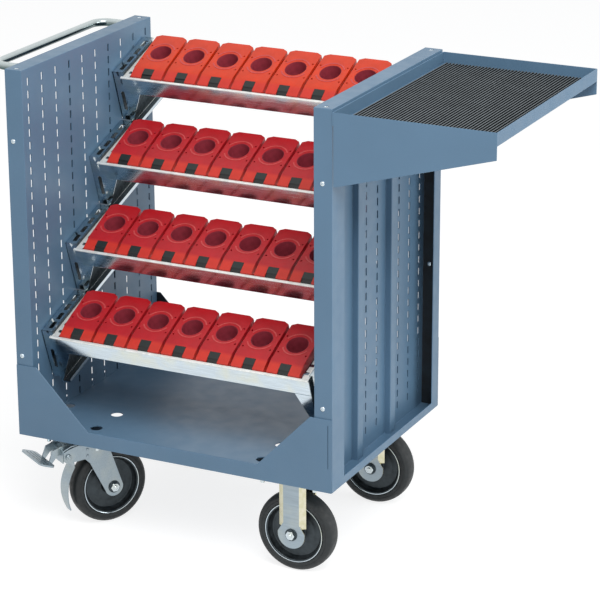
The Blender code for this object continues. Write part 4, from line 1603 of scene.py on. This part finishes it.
def studio_world(sizes):
    world = bpy.data.worlds.new("studio")
    world.use_nodes = True
    tree = world.node_tree
    tree.nodes.clear()
    room = add_node(tree, "ShaderNodeBackground",
                    {"Color": (0.96, 0.98, 1.0, 1), "Strength": sizes.room_light})
    white = add_node(tree, "ShaderNodeBackground", {"Color": (1, 1, 1, 1), "Strength": 1.0})
    mix = add_node(tree, "ShaderNodeMixShader", {0: seen_directly(tree), 1: room.outputs[0],
                                                 2: white.outputs[0]})
    add_node(tree, "ShaderNodeOutputWorld", {"Surface": mix.outputs[0]})
    bpy.context.scene.world = world


def studio_floor():
    """A white floor. Seen directly it glows a little, so it is white and keeps a pale shadow."""
    material = bpy.data.materials.new("studio_floor")
    material.use_nodes = True
    tree = material.node_tree
    tree.nodes.clear()
    matt = add_node(tree, "ShaderNodeBsdfDiffuse", {"Color": (0.35, 0.35, 0.35, 1)})
    glow = add_node(tree, "ShaderNodeEmission", {"Color": (1, 1, 1, 1), "Strength": 0.80})
    shown = add_node(tree, "ShaderNodeAddShader", {0: matt.outputs[0], 1: glow.outputs[0]})
    bounce = add_node(tree, "ShaderNodeBsdfDiffuse", {"Color": (0.8, 0.8, 0.8, 1)})
    mix = add_node(tree, "ShaderNodeMixShader", {0: seen_directly(tree), 1: bounce.outputs[0],
                                                 2: shown.outputs[0]})
    add_node(tree, "ShaderNodeOutputMaterial", {"Surface": mix.outputs[0]})
    half = 30.0
    mesh = bpy.data.meshes.new("studio_floor")
    corners = [(-half, -half, 0), (half, -half, 0), (half, half, 0), (-half, half, 0)]
    mesh.from_pydata(corners, [], [(0, 1, 2, 3)])
    mesh.materials.append(material)
    floor = link(bpy.data.objects.new("studio_floor", mesh))


def soft_lamp(name, power, size, place, target):
    data = bpy.data.lights.new(name, "AREA")
    data.energy = power
    data.size = size
    lamp = link(bpy.data.objects.new(name, data))
    lamp.location = place
    lamp.rotation_euler = (Vector(target) - Vector(place)).to_track_quat("-Z", "Y").to_euler()


def studio_camera(sizes):
    """The camera where the photographer stood. Its shift stays at zero."""
    yaw = sizes.camera_yaw
    pitch = sizes.camera_pitch
    ahead = Vector((-math.sin(yaw) * math.cos(pitch), math.cos(yaw) * math.cos(pitch), -math.sin(pitch)))
    right = Vector((math.cos(yaw), math.sin(yaw), 0))
    up = right.cross(ahead)
    lean = math.cos(sizes.camera_roll), math.sin(sizes.camera_roll)
    axes = Matrix((lean[0] * right + lean[1] * up, lean[0] * up - lean[1] * right, -ahead)).transposed()
    data = bpy.data.cameras.new("studio_camera")
    data.lens = sizes.camera_lens
    data.sensor_width = 36.0
    data.clip_end = 100.0
    camera = link(bpy.data.objects.new("studio_camera", data))
    camera.matrix_world = Matrix.Translation(sizes.camera_place) @ axes.to_4x4()
    bpy.context.scene.camera = camera


class TOOLCART_OT_studio(bpy.types.Operator):
    """Set up the white floor, the soft light and the camera"""
    bl_idname = "toolcart.studio"
    bl_label = "Studio"

    def execute(self, context):
        sizes = context.scene.stage_sizes
        studio_world(sizes)
        studio_floor()
        soft_lamp("key_lamp", sizes.key_light, 2.4, (1.4, -1.9, 3.4), (0.0, 0.0, 0.45))
        soft_lamp("side_lamp", sizes.side_light, 2.0, (3.2, 0.6, 1.6), (0.1, 0.0, 0.45))
        studio_camera(sizes)
        context.scene.view_settings.view_transform = "Standard"
        return {"FINISHED"}


class TOOLCART_PT_pieces(bpy.types.Panel):
    """Lists the steps that dress the cart"""
    bl_label = "Tool Cart"
    bl_idname = "TOOLCART_PT_pieces"
    bl_space_type = "VIEW_3D"
    bl_region_type = "UI"
    bl_category = "Tool Cart"

    def draw(self, context):
        column = self.layout.column(align=True)
        for operator in operators:
            column.operator(operator.bl_idname)
        for name in settings:
            box = self.layout.box()
            group = getattr(context.scene, name)
            for key in group.__annotations__:
                box.prop(group, key)


settings = {
    "cart_sizes": CartSizes,
    "rack_sizes": RackSizes,
    "caster_sizes": CasterSizes,
    "cart_colours": CartColours,
    "stage_sizes": StageSizes,
}
operators = (TOOLCART_OT_side_panels, TOOLCART_OT_base, TOOLCART_OT_push_handle, TOOLCART_OT_side_tray,
             TOOLCART_OT_racks, TOOLCART_OT_inserts, TOOLCART_OT_wheels, TOOLCART_OT_forks,
             TOOLCART_OT_studio)


def register():
    for name, group in settings.items():
        bpy.utils.register_class(group)
        setattr(bpy.types.Scene, name, PointerProperty(type=group))
    for operator in operators:
        bpy.utils.register_class(operator)
    bpy.utils.register_class(TOOLCART_PT_pieces)


def unregister():
    bpy.utils.unregister_class(TOOLCART_PT_pieces)
    for operator in reversed(operators):
        bpy.utils.unregister_class(operator)
    for name, group in reversed(list(settings.items())):
        delattr(bpy.types.Scene, name)
        bpy.utils.unregister_class(group)


def main():
    register()
    for operator in operators:
        group, _, name = operator.bl_idname.partition(".")
        getattr(getattr(bpy.ops, group), name)()
    bpy.context.view_layer.update()


if __name__ == "__main__":
    main()
